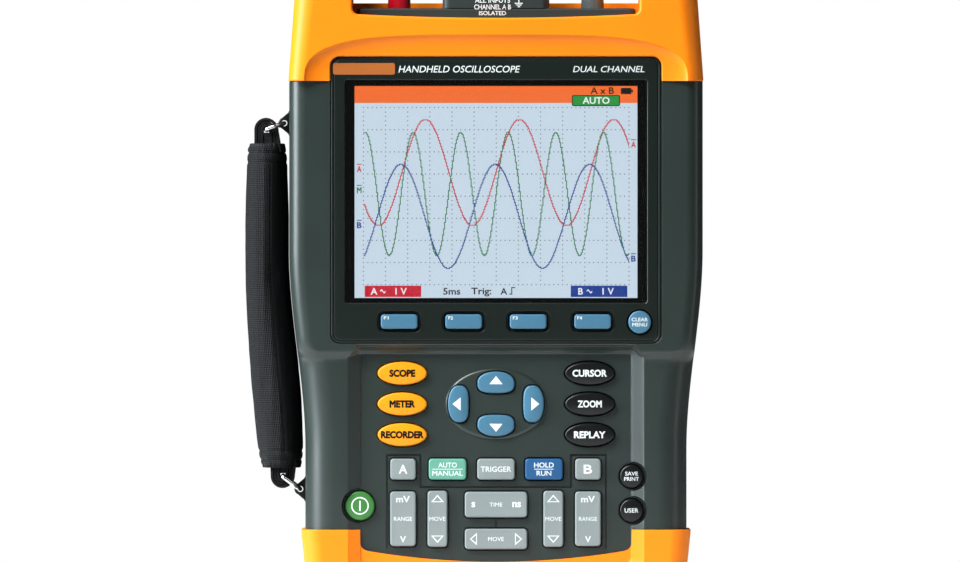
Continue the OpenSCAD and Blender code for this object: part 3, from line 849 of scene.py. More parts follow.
def display_bezel():
    """Plate around the display: rounded rim, a fine groove inside it, and recesses for the soft keys."""
    bezel, window = place("display_bezel"), place("display_window")
    rear, front = bezel.rear, bezel.front
    inner = panel(window.width - 2.6, window.height - 2.8, 1.0, bezel.x, window.mid)

    def outer(inset):
        return rounded(bezel.width - 2 * inset, bezel.height - 2 * inset, 3.5 - min(inset, 2.4), 8,
                       bezel.x, bezel.mid)
    rim_groove = ((0.75, 0), (0.85, 0.07), (0.9, 0.32), (1.2, 0.32), (1.25, 0.12), (1.4, 0.03), (1.7, 0))
    pairs = [(outer(0), rear)]
    pairs += [(outer(inward), front - below) for inward, below in edge(0.3, 3)]
    pairs += [(outer(inset), front - below) for inset, below in rim_groove]
    pairs += [(inner(inward), front - below) for inward, below in reversed(edge(0.5, 3))]
    pairs.append((inner(0), rear))
    body = layers("display_bezel", pairs, BEZEL, endless=True)
    for name in filter(in_bezel, KEYS):
        gap = 0.6 if name == "key_clear" else 1.3
        cut(body, flared(grown(key_outline(name), gap), rear - 1, front, 0.5))
    finish_piece(body, "display_bezel")


# ---- keys ----

KEY_LOOKS = {
    "key_scope": YELLOW_KEY, "key_meter": YELLOW_KEY, "key_recorder": YELLOW_KEY,
    "key_cursor": BLACK_KEY, "key_zoom": BLACK_KEY, "key_replay": BLACK_KEY,
    "key_save": BLACK_KEY, "key_user": BLACK_KEY, "key_power": GREEN_KEY,
    "key_auto": TEAL_KEY, "key_hold": NAVY_KEY,
    "key_a": GREY_KEY, "key_b": GREY_KEY, "key_trigger": GREY_KEY,
    "rocker": GREY_KEY, "key": BLUE_KEY}
PUSH_FOOT = 20.25
ROCKER_FOOT = 19.9
DIP = 0.25


def key_look(name):
    """The key's own plastic, or that of its kind."""
    return KEY_LOOKS.get(name) or KEY_LOOKS[name.split("_")[0]]


def make_key(name):
    """Cap with a hidden skirt that keeps it in its hole."""
    outline = key_outline(name)
    front = place(name).front
    foot = ROCKER_FOOT if name.startswith("rocker") else PUSH_FOOT
    radius, crown = (0.6, 0.12) if is_bar(name) or name == "key_clear" else (0.75, 0.35)
    cap = crowned(name, outline, foot, front, radius, crown, key_look(name))
    fuse(cap, block(outline(SKIRT), foot, foot + 0.8))
    if name.startswith("rocker"):
        dip_rocker(cap, name, front)
    finish_piece(cap, name, name)
    return cap


def dip_rocker(cap, name, front):
    """A rocker's top is a shallow saddle: its two ends stand a little higher than its middle."""
    x, y, width, height = cap_place(name)
    for vertex in cap.data.vertices:
        if -vertex.co.y / MM > front - 1.2:
            along = vertex.co.z / MM - y if height > width else vertex.co.x / MM - x
            share = min(1, 2 * abs(along) / max(width, height))
            vertex.co.y += DIP * MM * (1 - share ** 2)


# ---- letters and signs, whose own depth runs from -1 at the back to 0 at the front ----

CAP_SHARE = 0.69
INK_LIFT = 0.04
INK_ROOT = 0.12


def heavier(mesh, bold):
    """Moves the walls of the letters outwards, which makes their strokes bolder."""
    shape = bmesh.new()
    shape.from_mesh(mesh)
    bmesh.ops.remove_doubles(shape, verts=shape.verts, dist=0.0005)
    shape.normal_update()
    moves = []
    for corner in shape.verts:
        walls = []
        for face in corner.link_faces:
            if abs(face.normal.z) < 0.5 and all((face.normal - wall).length > 0.01 for wall in walls):
                walls.append(face.normal.copy())
        way = sum(walls, Vector()) * (2 if len(walls) == 1 else 1)
        moves.append(way * bold / max(0.6, way.length_squared / 2))
    for corner, move in zip(shape.verts, moves):
        corner.co += move
    shape.to_mesh(mesh)
    shape.free()


def lettering(text, x, y, cap_height, width=None, bold=0.02, slant=0.0):
    """Points and faces of letters centred on (x, y)."""
    curve = bpy.data.curves.new("letters", "FONT")
    curve.body = text
    curve.shear = slant
    curve.extrude = 0.5
    curve.resolution_u = 3
    source = add("letters", curve)
    mesh = applied_mesh(source)
    bpy.data.objects.remove(source)
    heavier(mesh, bold)
    across = [v.co.x for v in mesh.vertices]
    up = [v.co.y for v in mesh.vertices]
    mid_x, mid_y = (min(across) + max(across)) / 2, (min(up) + max(up)) / 2
    tall = cap_height / CAP_SHARE
    wide = width / (max(across) - min(across)) if width else tall
    points = [(x + (v.co.x - mid_x) * wide, y + (v.co.y - mid_y) * tall, v.co.z - 0.5) for v in mesh.vertices]
    faces = [tuple(p.vertices) for p in mesh.polygons]
    bpy.data.meshes.remove(mesh)
    return points, faces


def words(rows, cap_height=2.6):
    return [lettering(text, x, y, cap_height, width) for text, x, y, width in rows]


def sign(rings, endless=False):
    """Points and faces of a sign through (outline, depth) pairs."""
    points = [(x, y, depth) for outline, depth in rings for x, y in outline]
    return points, ring_faces(len(rings[0][0]), len(rings), endless)


def flat_sign(outline):
    return sign([(outline, -1), (outline, 0)])


def bar(left, right, low, high):
    return flat_sign(box(left, right, low, high))


def ring_sign(outer, inner):
    return sign([(outer, -1), (outer, 0), (inner, 0), (inner, -1)], endless=True)


def pointer(x, y, width, height, turn):
    """Triangle that points up, and is then turned by degrees."""
    c, s = math.cos(math.radians(turn)), math.sin(math.radians(turn))
    corners = [(-width / 2, -height / 2), (width / 2, -height / 2), (0, height / 2)]
    return [(x + px * c - py * s, y + px * s + py * c) for px, py in corners]


def hollow_pointer(x, y, width, height, turn, line=0.34):
    """Outline of a pointer, drawn with a line of its own."""
    outer = pointer(x, y, width, height, turn)
    mid_x = sum(p[0] for p in outer) / 3
    mid_y = sum(p[1] for p in outer) / 3
    share = 1 - 2.9 * line / min(width, height)
    return ring_sign(outer, [(mix(mid_x, px, share), mix(mid_y, py, share)) for px, py in outer])


def surface_of(part):
    """Function that gives the depth of the part's front surface at (x, height)."""
    tree = tree_of(part)

    def depth(x, height):
        hit = tree.ray_cast(put((x, height, FAR)), Vector((0, 1, 0)))[0]
        return -hit.y / MM if hit else None
    return depth


def finer(points, faces, longest=0.9, rounds=4):
    """The same shape with its long edges divided, so that it can follow a curved surface."""
    mesh = bpy.data.meshes.new("fine")
    mesh.from_pydata(points, [], faces)
    shape = bmesh.new()
    shape.from_mesh(mesh)
    bmesh.ops.remove_doubles(shape, verts=shape.verts, dist=0.002)
    for _ in range(rounds):
        bmesh.ops.triangulate(shape, faces=shape.faces)
        long_edges = [line for line in shape.edges
                      if math.dist(line.verts[0].co[:2], line.verts[1].co[:2]) > longest]
        if long_edges:
            bmesh.ops.subdivide_edges(shape, edges=long_edges, cuts=1)
    bmesh.ops.triangulate(shape, faces=shape.faces)
    shape.verts.index_update()
    points = [tuple(v.co) for v in shape.verts]
    faces = [tuple(v.index for v in face.verts) for face in shape.faces]
    shape.free()
    bpy.data.meshes.remove(mesh)
    return points, faces


def printed(name, shapes, ink, surface, node, body="case", lift=INK_LIFT, root=INK_ROOT):
    """One thin raised print made of several shapes. surface is a depth or a function of (x, height)."""
    points, faces = [], []
    for shape in shapes:
        shape_points, shape_faces = finer(*shape) if callable(surface) else shape
        start = len(points)
        for x, y, local in shape_points:
            base = surface(x, y) if callable(surface) else surface
            points.append((x, y, base + mix(-root, lift, local + 1)))
        faces += [tuple(start + i for i in face) for face in shape_faces]
    print_object = mesh_object(name, points, faces, ink, weld=True)
    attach(print_object, body)


# ---- key legends ----

FINE, THIN, BOLD, BOLDEST = 0.004, 0.012, 0.034, 0.055
OVAL_WORDS = {"key_scope": ("SCOPE", 10.6), "key_meter": ("METER", 10.4), "key_recorder": ("RECORDER", 17.4),
              "key_cursor": ("CURSOR", 14.0), "key_zoom": ("ZOOM", 9.8), "key_replay": ("REPLAY", 12.8)}
TWO_WORDS = {"key_clear": ("CLEAR", 6.6, "MENU", 6.0, 1.45), "key_save": ("SAVE", 5.2, "PRINT", 6.0, 1.5)}
RULED_WORDS = {"key_auto": ("AUTO", 7.6, "MANUAL", 12.4, 1.95), "key_hold": ("HOLD", 8.0, "RUN", 6.0, 1.95)}


def two_lines(x, y, upper, upper_width, lower, lower_width, cap, gap=0.72):
    return [lettering(upper, x, y + cap * gap, cap, upper_width, THIN),
            lettering(lower, x, y - cap * gap, cap, lower_width, THIN)]


def ruled(x, y, upper, upper_width, lower, lower_width, cap):
    """Two words with a rule between them."""
    half = max(upper_width, lower_width) / 2
    rule = bar(x - half, x + half, y - 0.13, y + 0.13)
    return two_lines(x, y, upper, upper_width, lower, lower_width, cap, 0.86) + [rule]


def push_legend(name, x, y):
    """The signs on a push key."""
    if name in OVAL_WORDS:
        word, width = OVAL_WORDS[name]
        return [lettering(word, x, y, 2.6, width, BOLDEST if key_look(name) is YELLOW_KEY else BOLD)]
    if name in TWO_WORDS:
        return two_lines(x, y, *TWO_WORDS[name])
    if name in RULED_WORDS:
        return ruled(x, y, *RULED_WORDS[name])
    if name in ARROWS:
        outward = Vector((x, y - ARROW_MIDDLE)).normalized()
        shift_x, shift_y = 0.7 * outward.x, 0.9 * outward.y
        return [flat_sign(pointer(x + shift_x, y + shift_y, 5.4, 3.3, ARROWS[name]))]
    if name == "key_power":
        ring = ring_sign(circle(3.6, 48, x, y), circle(3.05, 48, x, y))
        return [ring, bar(x - 0.3, x + 0.3, y - 2.1, y + 2.1)]
    if name == "key_trigger":
        return [lettering("TRIGGER", x, y, 2.1, 12.4, THIN)]
    if name == "key_user":
        return [lettering("USER", x, y, 1.7, 5.6, THIN)]
    if name.startswith("key_f"):
        return [lettering("F" + name[-1], x - 5.3, y + 1.5, 1.25, 1.9, 0.01)]
    return [lettering(name[-1].upper(), x, y, 3.5, 3.5)]


def rocker_legend(name, x, y):
    """The signs on a rocker: one in the middle and one at each end."""
    if name.startswith("rocker_range"):
        return [lettering("mV", x, y + 8.0, 2.5, 5.6), lettering("RANGE", x, y, 1.6, 7.4, FINE),
                lettering("V", x, y - 8.3, 2.4, 2.4)]
    if name == "rocker_time":
        return [lettering("s", x - 9.2, y, 2.9, bold=0.03), lettering("TIME", x, y, 1.6, 5.2, FINE),
                lettering("ns", x + 8.4, y, 2.9, bold=0.03)]
    if name == "rocker_move_time":
        return [hollow_pointer(x - 9.2, y, 5.0, 2.9, 90), lettering("MOVE", x, y, 1.6, 6.4, FINE),
                hollow_pointer(x + 9.2, y, 5.0, 2.9, 270)]
    return [hollow_pointer(x, y + 8.3, 5.2, 3.0, 0), lettering("MOVE", x, y, 1.6, 6.6, FINE),
            hollow_pointer(x, y - 8.3, 5.2, 3.0, 180)]


def add_legend(name, cap):
    spot = place(name)
    legend = rocker_legend if name.startswith("rocker") else push_legend
    ink = BLACK_INK if key_look(name) is YELLOW_KEY else WHITE_INK
    printed(name + "_legend", legend(name, spot.x, spot.mid), ink, surface_of(cap), name, name)


# ---- display module and its picture ----

DIVISION = 9.0
DOTS = 5
GRID_LEFT, GRID_RIGHT = -53.9, 54.1
GRID_LOW, GRID_HIGH = 122.0, 194.0
LIT_HALF = 57.5
LIT_LOW, LIT_HIGH = 116.6, 202.8
HEADER_LOW = 195.9
PIXEL = 0.4
DOT_HALF = 0.21
PICTURE = place("lcd_panel").front - 0.5
BADGE_AT = (40.65, 196.85)
FOOTER = 119.3
CORNER_LOW, CORNER_HIGH = 117.0, 121.6
TRACES = [("red", LCD_RED, 167.4, 21.6, -29.1, 4.25), ("green", LCD_GREEN, 158.7, 25.0, -53.5, 2.15),
          ("blue", LCD_BLUE, 149.6, 21.1, -39.0, 4.26)]
PALE_WORDS = [("AUTO", 40.7, 196.9, 11.0), ("A", -49.6, FOOTER, None), ("1 V", -38.6, FOOTER, None),
              ("B", 34.4, FOOTER, None), ("1 V", 45.6, FOOTER, None)]
DARK_WORDS = [("A x B", 43.2, 200.9, 9.6), ("5ms", -18.0, FOOTER, 7.0), ("Trig:", -6.0, 119.0, 8.2),
              ("A", 3.2, FOOTER, None)]
RISING_EDGE = [(5.4, 118.0), (6.6, 118.0), (6.6, 120.6), (7.8, 120.6), (7.8, 121.0), (6.2, 121.0),
               (6.2, 118.4), (5.4, 118.4)]


def trace_shapes(middle, swing, peak, period):
    """A sine drawn as a screen draws it, one upright run of pixels to a column."""
    shapes = []
    before = None
    for column in range(int((GRID_RIGHT - GRID_LEFT) / PIXEL)):
        left = GRID_LEFT + column * PIXEL
        row = round((middle + swing * math.cos(2 * math.pi * (left - peak) / (period * DIVISION))) / PIXEL)
        before = row if before is None else before
        low, high = min(row, before), max(row, before) + 1
        shapes.append(bar(left, left + 0.97 * PIXEL, low * PIXEL, high * PIXEL))
        before = row
    return shapes


def grid_shapes():
    """Dotted lines between the divisions."""
    pitch = DIVISION / DOTS
    columns = round((GRID_RIGHT - GRID_LEFT) / pitch)
    rows = round((GRID_HIGH - GRID_LOW) / pitch)
    spots = [(GRID_LEFT + i * pitch, GRID_LOW + j * pitch)
             for i in range(columns + 1) for j in range(rows + 1) if i % DOTS == 0 or j % DOTS == 0]
    return [bar(x - DOT_HALF, x + DOT_HALF, y - DOT_HALF, y + DOT_HALF) for x, y in spots]


def marker(letter, x, y):
    return [lettering(letter, x, y, 2.3, 1.9, bold=0.03), bar(x - 1.0, x + 1.0, y + 1.8, y + 2.15)]


def sine_sign(x, y, width=2.2, height=1.1, line=0.3):
    """Small wave that marks an alternating input."""
    upper = [(x + width * (t - 0.5), y + height / 2 * math.sin(2 * math.pi * t) + line) for t in steps(12)]
    lower = [(px, py - 2 * line) for px, py in upper]
    return flat_sign(lower + upper[::-1])


def lit(name, shapes, look, level):
    """Part of the picture, at a height in millimetres above the cell."""
    printed("lit_" + name, shapes, look, PICTURE + level, "lcd_panel", lift=0.04, root=0.01)


def display():
    """Display cell, and the picture on it as thin lit shapes."""
    cell = place("lcd_panel")
    module = stepped("lcd_panel", panel(cell.width, cell.height, 2, cell.x, cell.mid, 4),
                     [(-0.5, cell.rear), (0, cell.rear + 0.5), (0, PICTURE - 0.4), (-0.4, PICTURE)], MASK)
    finish_piece(module, "lcd_panel")
    lit("area", [bar(-LIT_HALF, LIT_HALF, LIT_LOW, HEADER_LOW - 0.02)], LCD_WHITE, 0.02)
    lit("header", [bar(-LIT_HALF, LIT_HALF, HEADER_LOW, LIT_HIGH)], LCD_ORANGE, 0.02)
    lit("grid", grid_shapes(), LCD_DOT, 0.07)
    for i, (name, look, *wave) in enumerate(TRACES):
        lit("trace_" + name, trace_shapes(*wave), look, 0.12 + 0.05 * i)
    lit("badge_rim", [flat_sign(rounded(19.6, 4.5, 0.7, 4, *BADGE_AT))], LCD_INK, 0.06)
    lit("badge_green", [flat_sign(rounded(18.8, 3.7, 0.4, 4, *BADGE_AT))], LCD_LEAF, 0.1)
    lit("badge_red", [bar(-53.4, -30.4, CORNER_LOW, CORNER_HIGH)], LCD_RED, 0.1)
    lit("badge_blue", [bar(30.4, 53.4, CORNER_LOW, CORNER_HIGH)], LCD_BLUE, 0.1)
    waves = [sine_sign(x, FOOTER) for x in (-46.0, 38.0)]
    lit("words_white", words(PALE_WORDS) + waves, LCD_PALE, 0.15)
    battery = [bar(50.8, 55.0, 199.5, 202.0), bar(55.05, 55.7, 200.2, 201.3)]
    lit("words_black", words(DARK_WORDS) + [flat_sign(RISING_EDGE)] + battery, LCD_INK, 0.15)
    lit("marks_red", marker("A", -55.6, 169.0) + marker("A", 55.9, 179.0), LCD_RED, 0.15)
    lit("marks_green", marker("M", -55.6, 160.4), LCD_GREEN, 0.15)
    lit("marks_blue", marker("B", -55.6, 146.2) + marker("B", 55.9, 132.6), LCD_BLUE, 0.15)


def bezel_prints():
    """Plain badge and generic titles along the top of the bezel."""
    front = place("display_bezel").front
    badge = stepped("badge", panel(25.2, 4.7, 0.9, -53.6, 209.7, 5),
                    [(0, front - 0.1), (0, front + 0.08), (-0.15, front + 0.16)], BADGE_INK)
    finish_piece(badge, "display_bezel", stands_in=False)
    titles = [lettering("HANDHELD OSCILLOSCOPE", -14.9, 209.6, 2.7, 49.4, FINE, slant=0.2),
              lettering("DUAL CHANNEL", 45.8, 209.6, 2.5, 29.0, 0.0, slant=0.2)]
    printed("bezel_titles", titles, WHITE_INK, front, "display_bezel")


# ---- hand strap: sleeve ----

SLEEVE_AT = place("strap_sleeve")
SLEEVE_INSET = 0.7
PUFF_CAP = 1.5
PUFF_VOXEL = 3.2
PRESSURE = 4
CLOTH_FRAMES = 20
LINING_START = 0.22
SWING_ROOM = 0.5
SWING_SLOPE = 0.2
CUFF_LOW, CUFF_HIGH = 7.2, 8.0
AROUND = 120
SLEEVE_ENDS = ((0.62, 2.4), (0.86, 1.3), (0.94, 0.3), (0.985, 0.6))


def sleeve_out(h):
    return 102.8 - 6 * (max(0, 138 - h) / 91) ** 1.8 - 0.8 * (max(0, h - 138) / 42) ** 2


def sleeve_in(h):
    return half_width(h) + 0.6


def sleeve_ring(h, inset, count):
    """Level ring of the pad: an oval with full sides."""
    end = min(1, min(h - SLEEVE_AT.low, SLEEVE_AT.high - h) / 6)
    full = 0.94 + 0.06 * math.sin(math.pi / 2 * end)
    mid = (sleeve_in(h) + sleeve_out(h)) / 2
    a = (sleeve_out(h) - sleeve_in(h)) / 2 * full - inset
    b = (SLEEVE_AT.front - SIDE_DEPTH) * full - inset
    ring = []
    for i in range(count):
        angle = 2 * math.pi * i / count
        across, deep = squared(angle, 0.85 if math.cos(angle) > 0 else 1.0, a, b)
        ring.append((-mid - across, h, SIDE_DEPTH + deep))
    return ring


def puffed(pad):
    """The stuffing swells the cover by air pressure, and no point moves further than the cap."""
    even = pad.modifiers.new("even", "REMESH")
    even.mode = "VOXEL"
    even.voxel_size = PUFF_VOXEL * MM
    settle(pad)
    start = [v.co.copy() for v in pad.data.vertices]
    air = pad.modifiers.new("air", "CLOTH")
    air.settings.quality = 5
    air.settings.use_pressure = True
    air.settings.uniform_pressure_force = PRESSURE
    air.settings.effector_weights.gravity = 0
    scene = bpy.context.scene
    for number in range(1, CLOTH_FRAMES + 1):
        scene.frame_set(number)
    settle(pad)
    scene.frame_set(1)
    for vertex, before in zip(pad.data.vertices, start):
        move = vertex.co - before
        if move.length > PUFF_CAP * MM:
            vertex.co = before + move * (PUFF_CAP * MM / move.length)
    return pad


def pad_tree():
    heights = steps(44, SLEEVE_AT.low, SLEEVE_AT.high)
    pad = puffed(loft("pad", [sleeve_ring(h, SLEEVE_INSET, 64) for h in heights], None))
    tree = tree_of(pad)
    bpy.data.objects.remove(pad)
    return tree


def bell(distance, width, height):
    """Height of a soft dent or rise at a distance from its middle."""
    return height * math.exp(-(distance / width) ** 2)


def cover_reach(h, share, point, reach):
    """Distance from the pad's middle to its cover, with sewn lines, a full top end and soft unevenness."""
    low, high = SLEEVE_AT.low, SLEEVE_AT.high
    for line in (low + 3.6, low + CUFF_LOW, high - 4.2, high - CUFF_HIGH):
        reach -= bell(h - line, 0.55, 0.45)
    if low + 7 < h < high - CUFF_HIGH:
        reach -= bell(share - LINING_START, 0.035, 0.4)
    reach += bell(h - high + 2.2, 1.6, 0.5) * max(0, -share)
    return reach + 0.16 * noise.noise(Vector((point[0] * 0.22, h * 0.13, point[2] * 0.16)))


def cover_ring(h, tree):
    """Ring of the cover, and for each point its distance round, its height and 1 where it is woven."""
    centre = (-(sleeve_in(h) + sleeve_out(h)) / 2, h, SIDE_DEPTH)
    half = (sleeve_out(h) - sleeve_in(h)) / 2
    in_lining = SLEEVE_AT.low + CUFF_LOW < h < SLEEVE_AT.high - CUFF_HIGH
    ring, notes = [], []
    around = 0
    for point in sleeve_ring(h, 0, AROUND):
        way = Vector((point[0] - centre[0], 0, point[2] - centre[2]))
        reach = way.length
        way.normalize()
        hit = tree.ray_cast(put(centre), Vector((way.x, -way.z, 0)))[0] if tree else None
        if hit:
            reach = (hit - put(centre)).length / MM
        share = (point[0] - centre[0]) / half
        reach = cover_reach(h, share, point, reach)
        lining_x = -half_width(h) - SWING_ROOM - SWING_SLOPE * abs(way.z * reach)
        ring.append((min(centre[0] + way.x * reach, lining_x), h, centre[2] + way.z * reach))
        if len(ring) > 1:
            around += math.dist(ring[-1], ring[-2])
        notes.append((around, h, 0 if share > LINING_START and in_lining else 1))
    return ring, notes


def drawn_in(ring, share, h):
    mid_x = sum(p[0] for p in ring) / len(ring)
    return [(mix(mid_x, p[0], share), h, mix(SIDE_DEPTH, p[2], share)) for p in ring]


def strap_sleeve():
    """Padded cover: woven outside, smooth lining towards the case, sewn cuffs at both ends."""
    low, high = SLEEVE_AT.low, SLEEVE_AT.high
    tree = pad_tree()
    rings, notes = [], []
    for h in steps(190, low + 1.4, high - 1.4):
        ring, ring_notes = cover_ring(h, tree)
        rings.append(ring)
        notes += ring_notes
    lower = [drawn_in(rings[0], share, low + lift) for share, lift in SLEEVE_ENDS]
    upper = [drawn_in(rings[-1], share, high - lift) for share, lift in reversed(SLEEVE_ENDS)]
    first, last = ([(around, h, 1) for around, h, _ in part] for part in (notes[:AROUND], notes[-AROUND:]))
    notes = first * len(SLEEVE_ENDS) + notes + last * len(SLEEVE_ENDS)
    sleeve = loft("strap_sleeve", lower + rings + upper, SLEEVE)
    lay = sleeve.data.attributes.new("lay", "FLOAT_VECTOR", "POINT")
    for item, note in zip(lay.data, notes):
        item.vector = note
    finish_piece(sleeve, "strap_sleeve", "hand_strap", angle=60)


# ---- hand strap: webbing, rings and lugs ----

WEB_ENDS = (((-93.8, 185.3), 176, -98.6, -87.4, 1), ((-87.1, 43.8), 51, -92.2, -81.4, -1))
WEB_LAYERS = ((1.15, 2.3), (2.4, 3.5), (3.6, 4.8))
WEB_HALF = 12
WEB_EDGE = 0.25
RING_HALF = 14
RING_WIRE = 0.88
EYES = (188, 38.5)
EYE_REACH = 2.4


def webbing_layer(end, inner, outer, half):
    """One folded layer round the ring's bar, with both legs running into the sleeve."""
    (x, y), leg_height, left, right, up = end

    def path(radius):
        share = radius / WEB_LAYERS[-1][1]
        bend = [(x - radius * math.cos(math.pi * t), y + up * radius * math.sin(math.pi * t))
                for t in steps(20)][1:-1]
        return ([(mix(x, left, share), leg_height), (x - radius, y)] + bend
                + [(x + radius, y), (mix(x, right, share), leg_height)])
    full = path(outer) + path(inner)[::-1]
    tight = path(outer - WEB_EDGE * 0.6) + path(inner + WEB_EDGE * 0.6)[::-1]
    return layers("webbing", [(tight, SIDE_DEPTH - half), (full, SIDE_DEPTH - half + WEB_EDGE),
                              (full, SIDE_DEPTH + half - WEB_EDGE), (tight, SIDE_DEPTH + half)], WEBBING)


def webbing_core(end):
    """The folded end between the legs, below the ring's bar."""
    (x, y), leg_height, left, right, up = end
    top = y - up * 1.25
    half = (right - left) * 0.13
    middle = mix(x, (left + right) / 2, 0.8)
    outline = [(x - 1.05, top), (middle - half, leg_height), (middle + half, leg_height), (x + 1.05, top)]
    return block(outline, SIDE_DEPTH - WEB_HALF + 0.4, SIDE_DEPTH + WEB_HALF - 0.4, WEBBING)


def strap_webbing():
    made = [webbing_core(end) for end in WEB_ENDS]
    for i, (inner, outer) in enumerate(WEB_LAYERS):
        made += [webbing_layer(end, inner, outer, WEB_HALF - 0.25 * (i % 2)) for end in WEB_ENDS]
    finish_piece(joined("strap_webbing", made), "strap_webbing", "hand_strap")


def soft_corners(points, radius, count=5):
    """Closed path whose corners are rounded: each one becomes a short curve."""
    path = []
    for i, point in enumerate(points):
        here = Vector(point)
        before = Vector(points[i - 1]) - here
        after = Vector(points[(i + 1) % len(points)]) - here
        start = here + before.normalized() * min(radius, before.length * 0.45)
        end = here + after.normalized() * min(radius, after.length * 0.45)
        path += [start.lerp(here, t).lerp(here.lerp(end, t), t) for t in steps(count)]
    return path


def strap_ring(eye, web):
    """Wire ring whose narrow end goes through the eye and whose bar carries the webbing."""
    reach = math.dist(eye, web)
    along = ((web[0] - eye[0]) / reach, (web[1] - eye[1]) / reach)
    flat = [(0, -4.2), (2.6, -RING_HALF), (reach, -RING_HALF), (reach, RING_HALF), (2.6, RING_HALF), (0, 4.2)]
    corners = [(eye[0] + along[0] * run, eye[1] + along[1] * run, SIDE_DEPTH + across)
               for run, across in flat]
    return tube("strap_ring", soft_corners(corners, 1.6), RING_WIRE, CHROME)


def strap_rings():
    rings = [strap_ring((-half_width(h) - EYE_REACH, h), end[0]) for h, end in zip(EYES, WEB_ENDS)]
    finish_piece(joined("strap_rings", rings), "strap_rings", "hand_strap", angle=60)


def strap_lug(h):
    """Eye plate: a rounded nose round the eye that widens into its base."""
    wall_x = -half_width(h)
    eye_x = wall_x - EYE_REACH

    def outline(g):
        nose = arc(eye_x, h, EYE_REACH - g, 112, 136, 10)
        return nose + box(wall_x - 0.5, wall_x + 3, h - 4.6 + g, h + 4.6 - g)
    nose = stepped("lug", outline, [(0.35, -9.7), (0, -9.4), (0, -6.6), (0.35, -6.3)], BLACK)
    fuse(nose, block(box(wall_x - 0.6, wall_x + 3, h - 5, h + 5), -11.2, -4.8, BLACK))
    return cut(nose, block(circle(1.25, 32, eye_x, h), -FAR, FAR))


def strap_lugs():
    finish_piece(joined("strap_lugs", [strap_lug(h) for h in EYES]), "strap_lugs")


# ---- inputs ----

COAX_PROFILE = [(4.05, 229.2), (4.75, 229.2), (4.7, 236), (4.45, 240), (4.42, 245.6), (4.62, 246.8),
                (4.8, 247.4), (4.8, 251.3), (4.7, 251.75), (4.45, 252), (4.15, 252), (4.05, 251.8)]
STUD_PROFILE = [(4.2, 1.0), (5.2, 1.0), (5.36, 0.9), (5.4, 0.7)]
STUD_HIGH = 245
JACK_RIM = [(7 - inward, 251.2 - below) for inward, below in edge(0.5, 3)]
JACK_PROFILE = ([(2.0, 221), (5.5, 221), (5.5, 250), (7.0, 250.02)] + JACK_RIM
                + [(4.8, 251.2), (4.3, 250.9), (4.2, 250.4), (4.2, 232), (2.8, 231.6), (2.8, 249.2),
                   (2.5, 249.6), (2.1, 249.4)])
SHELLS = ("bnc_shell_a", "bnc_shell_b")
JACKS = ("banana_jack_red", "banana_jack_black")
SHELL_OPENING = 4.9
JACK_OPENING = 5.7


def coax_shell(name, look):
    """Coloured shell: a waisted neck, a wider mouth and two locking studs."""
    x = place(name).x
    shell = lathe(name, COAX_PROFILE, x, INPUT_DEPTH, look)
    studs = []
    for side in SIDES:
        def ring(reach, radius):
            return [(x + side * reach, STUD_HIGH + a, INPUT_DEPTH + b) for a, b in circle(radius, 24)]
        studs.append(turned("stud", ring, STUD_PROFILE, look))
    fuse(shell, *studs)
    finish_piece(shell, name)


def socket_body(name, look):
    finish_piece(lathe(name, JACK_PROFILE, place(name).x, INPUT_DEPTH, look), name)


def upright_cutter(name, surface, radius, flare):
    """Round cutter along the height, at a node's place, whose mouth flares at a level surface."""
    x = place(name).x
    profile = [(surface - 40, radius), (surface - flare, radius),
               (surface - flare * 0.4, radius + flare * 0.25),
               (surface, radius + flare), (surface + 30, radius + flare)]
    return turned("cutter", lambda h, r: [(x + a, h, INPUT_DEPTH + b) for a, b in circle(r, 48)], profile)


def upright_block(node, radius, profile, count):
    """Solid with upright rounded corners in a CAD node's place: profile is (inset, height) pairs."""
    spot = place(node)
    outline = panel(spot.width, spot.front - spot.rear, radius, 0, (spot.front + spot.rear) / 2, count)
    return turned(node, lambda g, h: [(x, h, depth) for x, depth in outline(-g)], profile, PANEL)


def input_plate():
    """Dark plate behind the brow, its front edge rounded, with round openings for the inputs."""
    low, high = place("input_panel").low, place("input_panel").high
    profile = [(0, low), (0, high - 0.9), (0.12, high - 0.5), (0.42, high - 0.15), (0.9, high)]
    plate = upright_block("input_panel", 2.6, profile, 6)
    holes = [upright_cutter(name, high, SHELL_OPENING, 0.5) for name in SHELLS]
    holes += [upright_cutter(name, high, JACK_OPENING, 0.5) for name in JACKS]
    cut(plate, joined("holes", holes))
    finish_piece(plate, "input_panel")


def raised_block():
    """Middle block that carries the two sockets: drawn-in sides and rounded edges."""
    spot = place("socket_block")
    profile = [(0, spot.low + 0.02)] + [(inward, spot.high - below) for inward, below in edge(1.4, 6)]
    body = upright_block("socket_block", 3.0, profile, 8)
    cut(body, joined("holes", [upright_cutter(name, spot.high, JACK_OPENING, 0.4) for name in JACKS]))
    finish_piece(body, "socket_block")
    earth = [bar(9.1, 9.5, 236.6, 238.4), bar(7.6, 11.0, 236.2, 236.6), bar(8.2, 10.4, 235.5, 235.9),
             bar(8.8, 9.8, 234.8, 235.2)]
    lines = words([("ALL INPUTS", -1.4, 237.6, 14.4), ("CHANNEL A B", -1.4, 234.9, 15.0)], 1.9)
    lines += words([("ISOLATED", -1.4, 232.4, 11.0)], 1.6)
    printed("input_words", lines + earth, WHITE_INK, spot.front, "socket_block")


# ---- rear: stand, battery cover, screws and feet ----

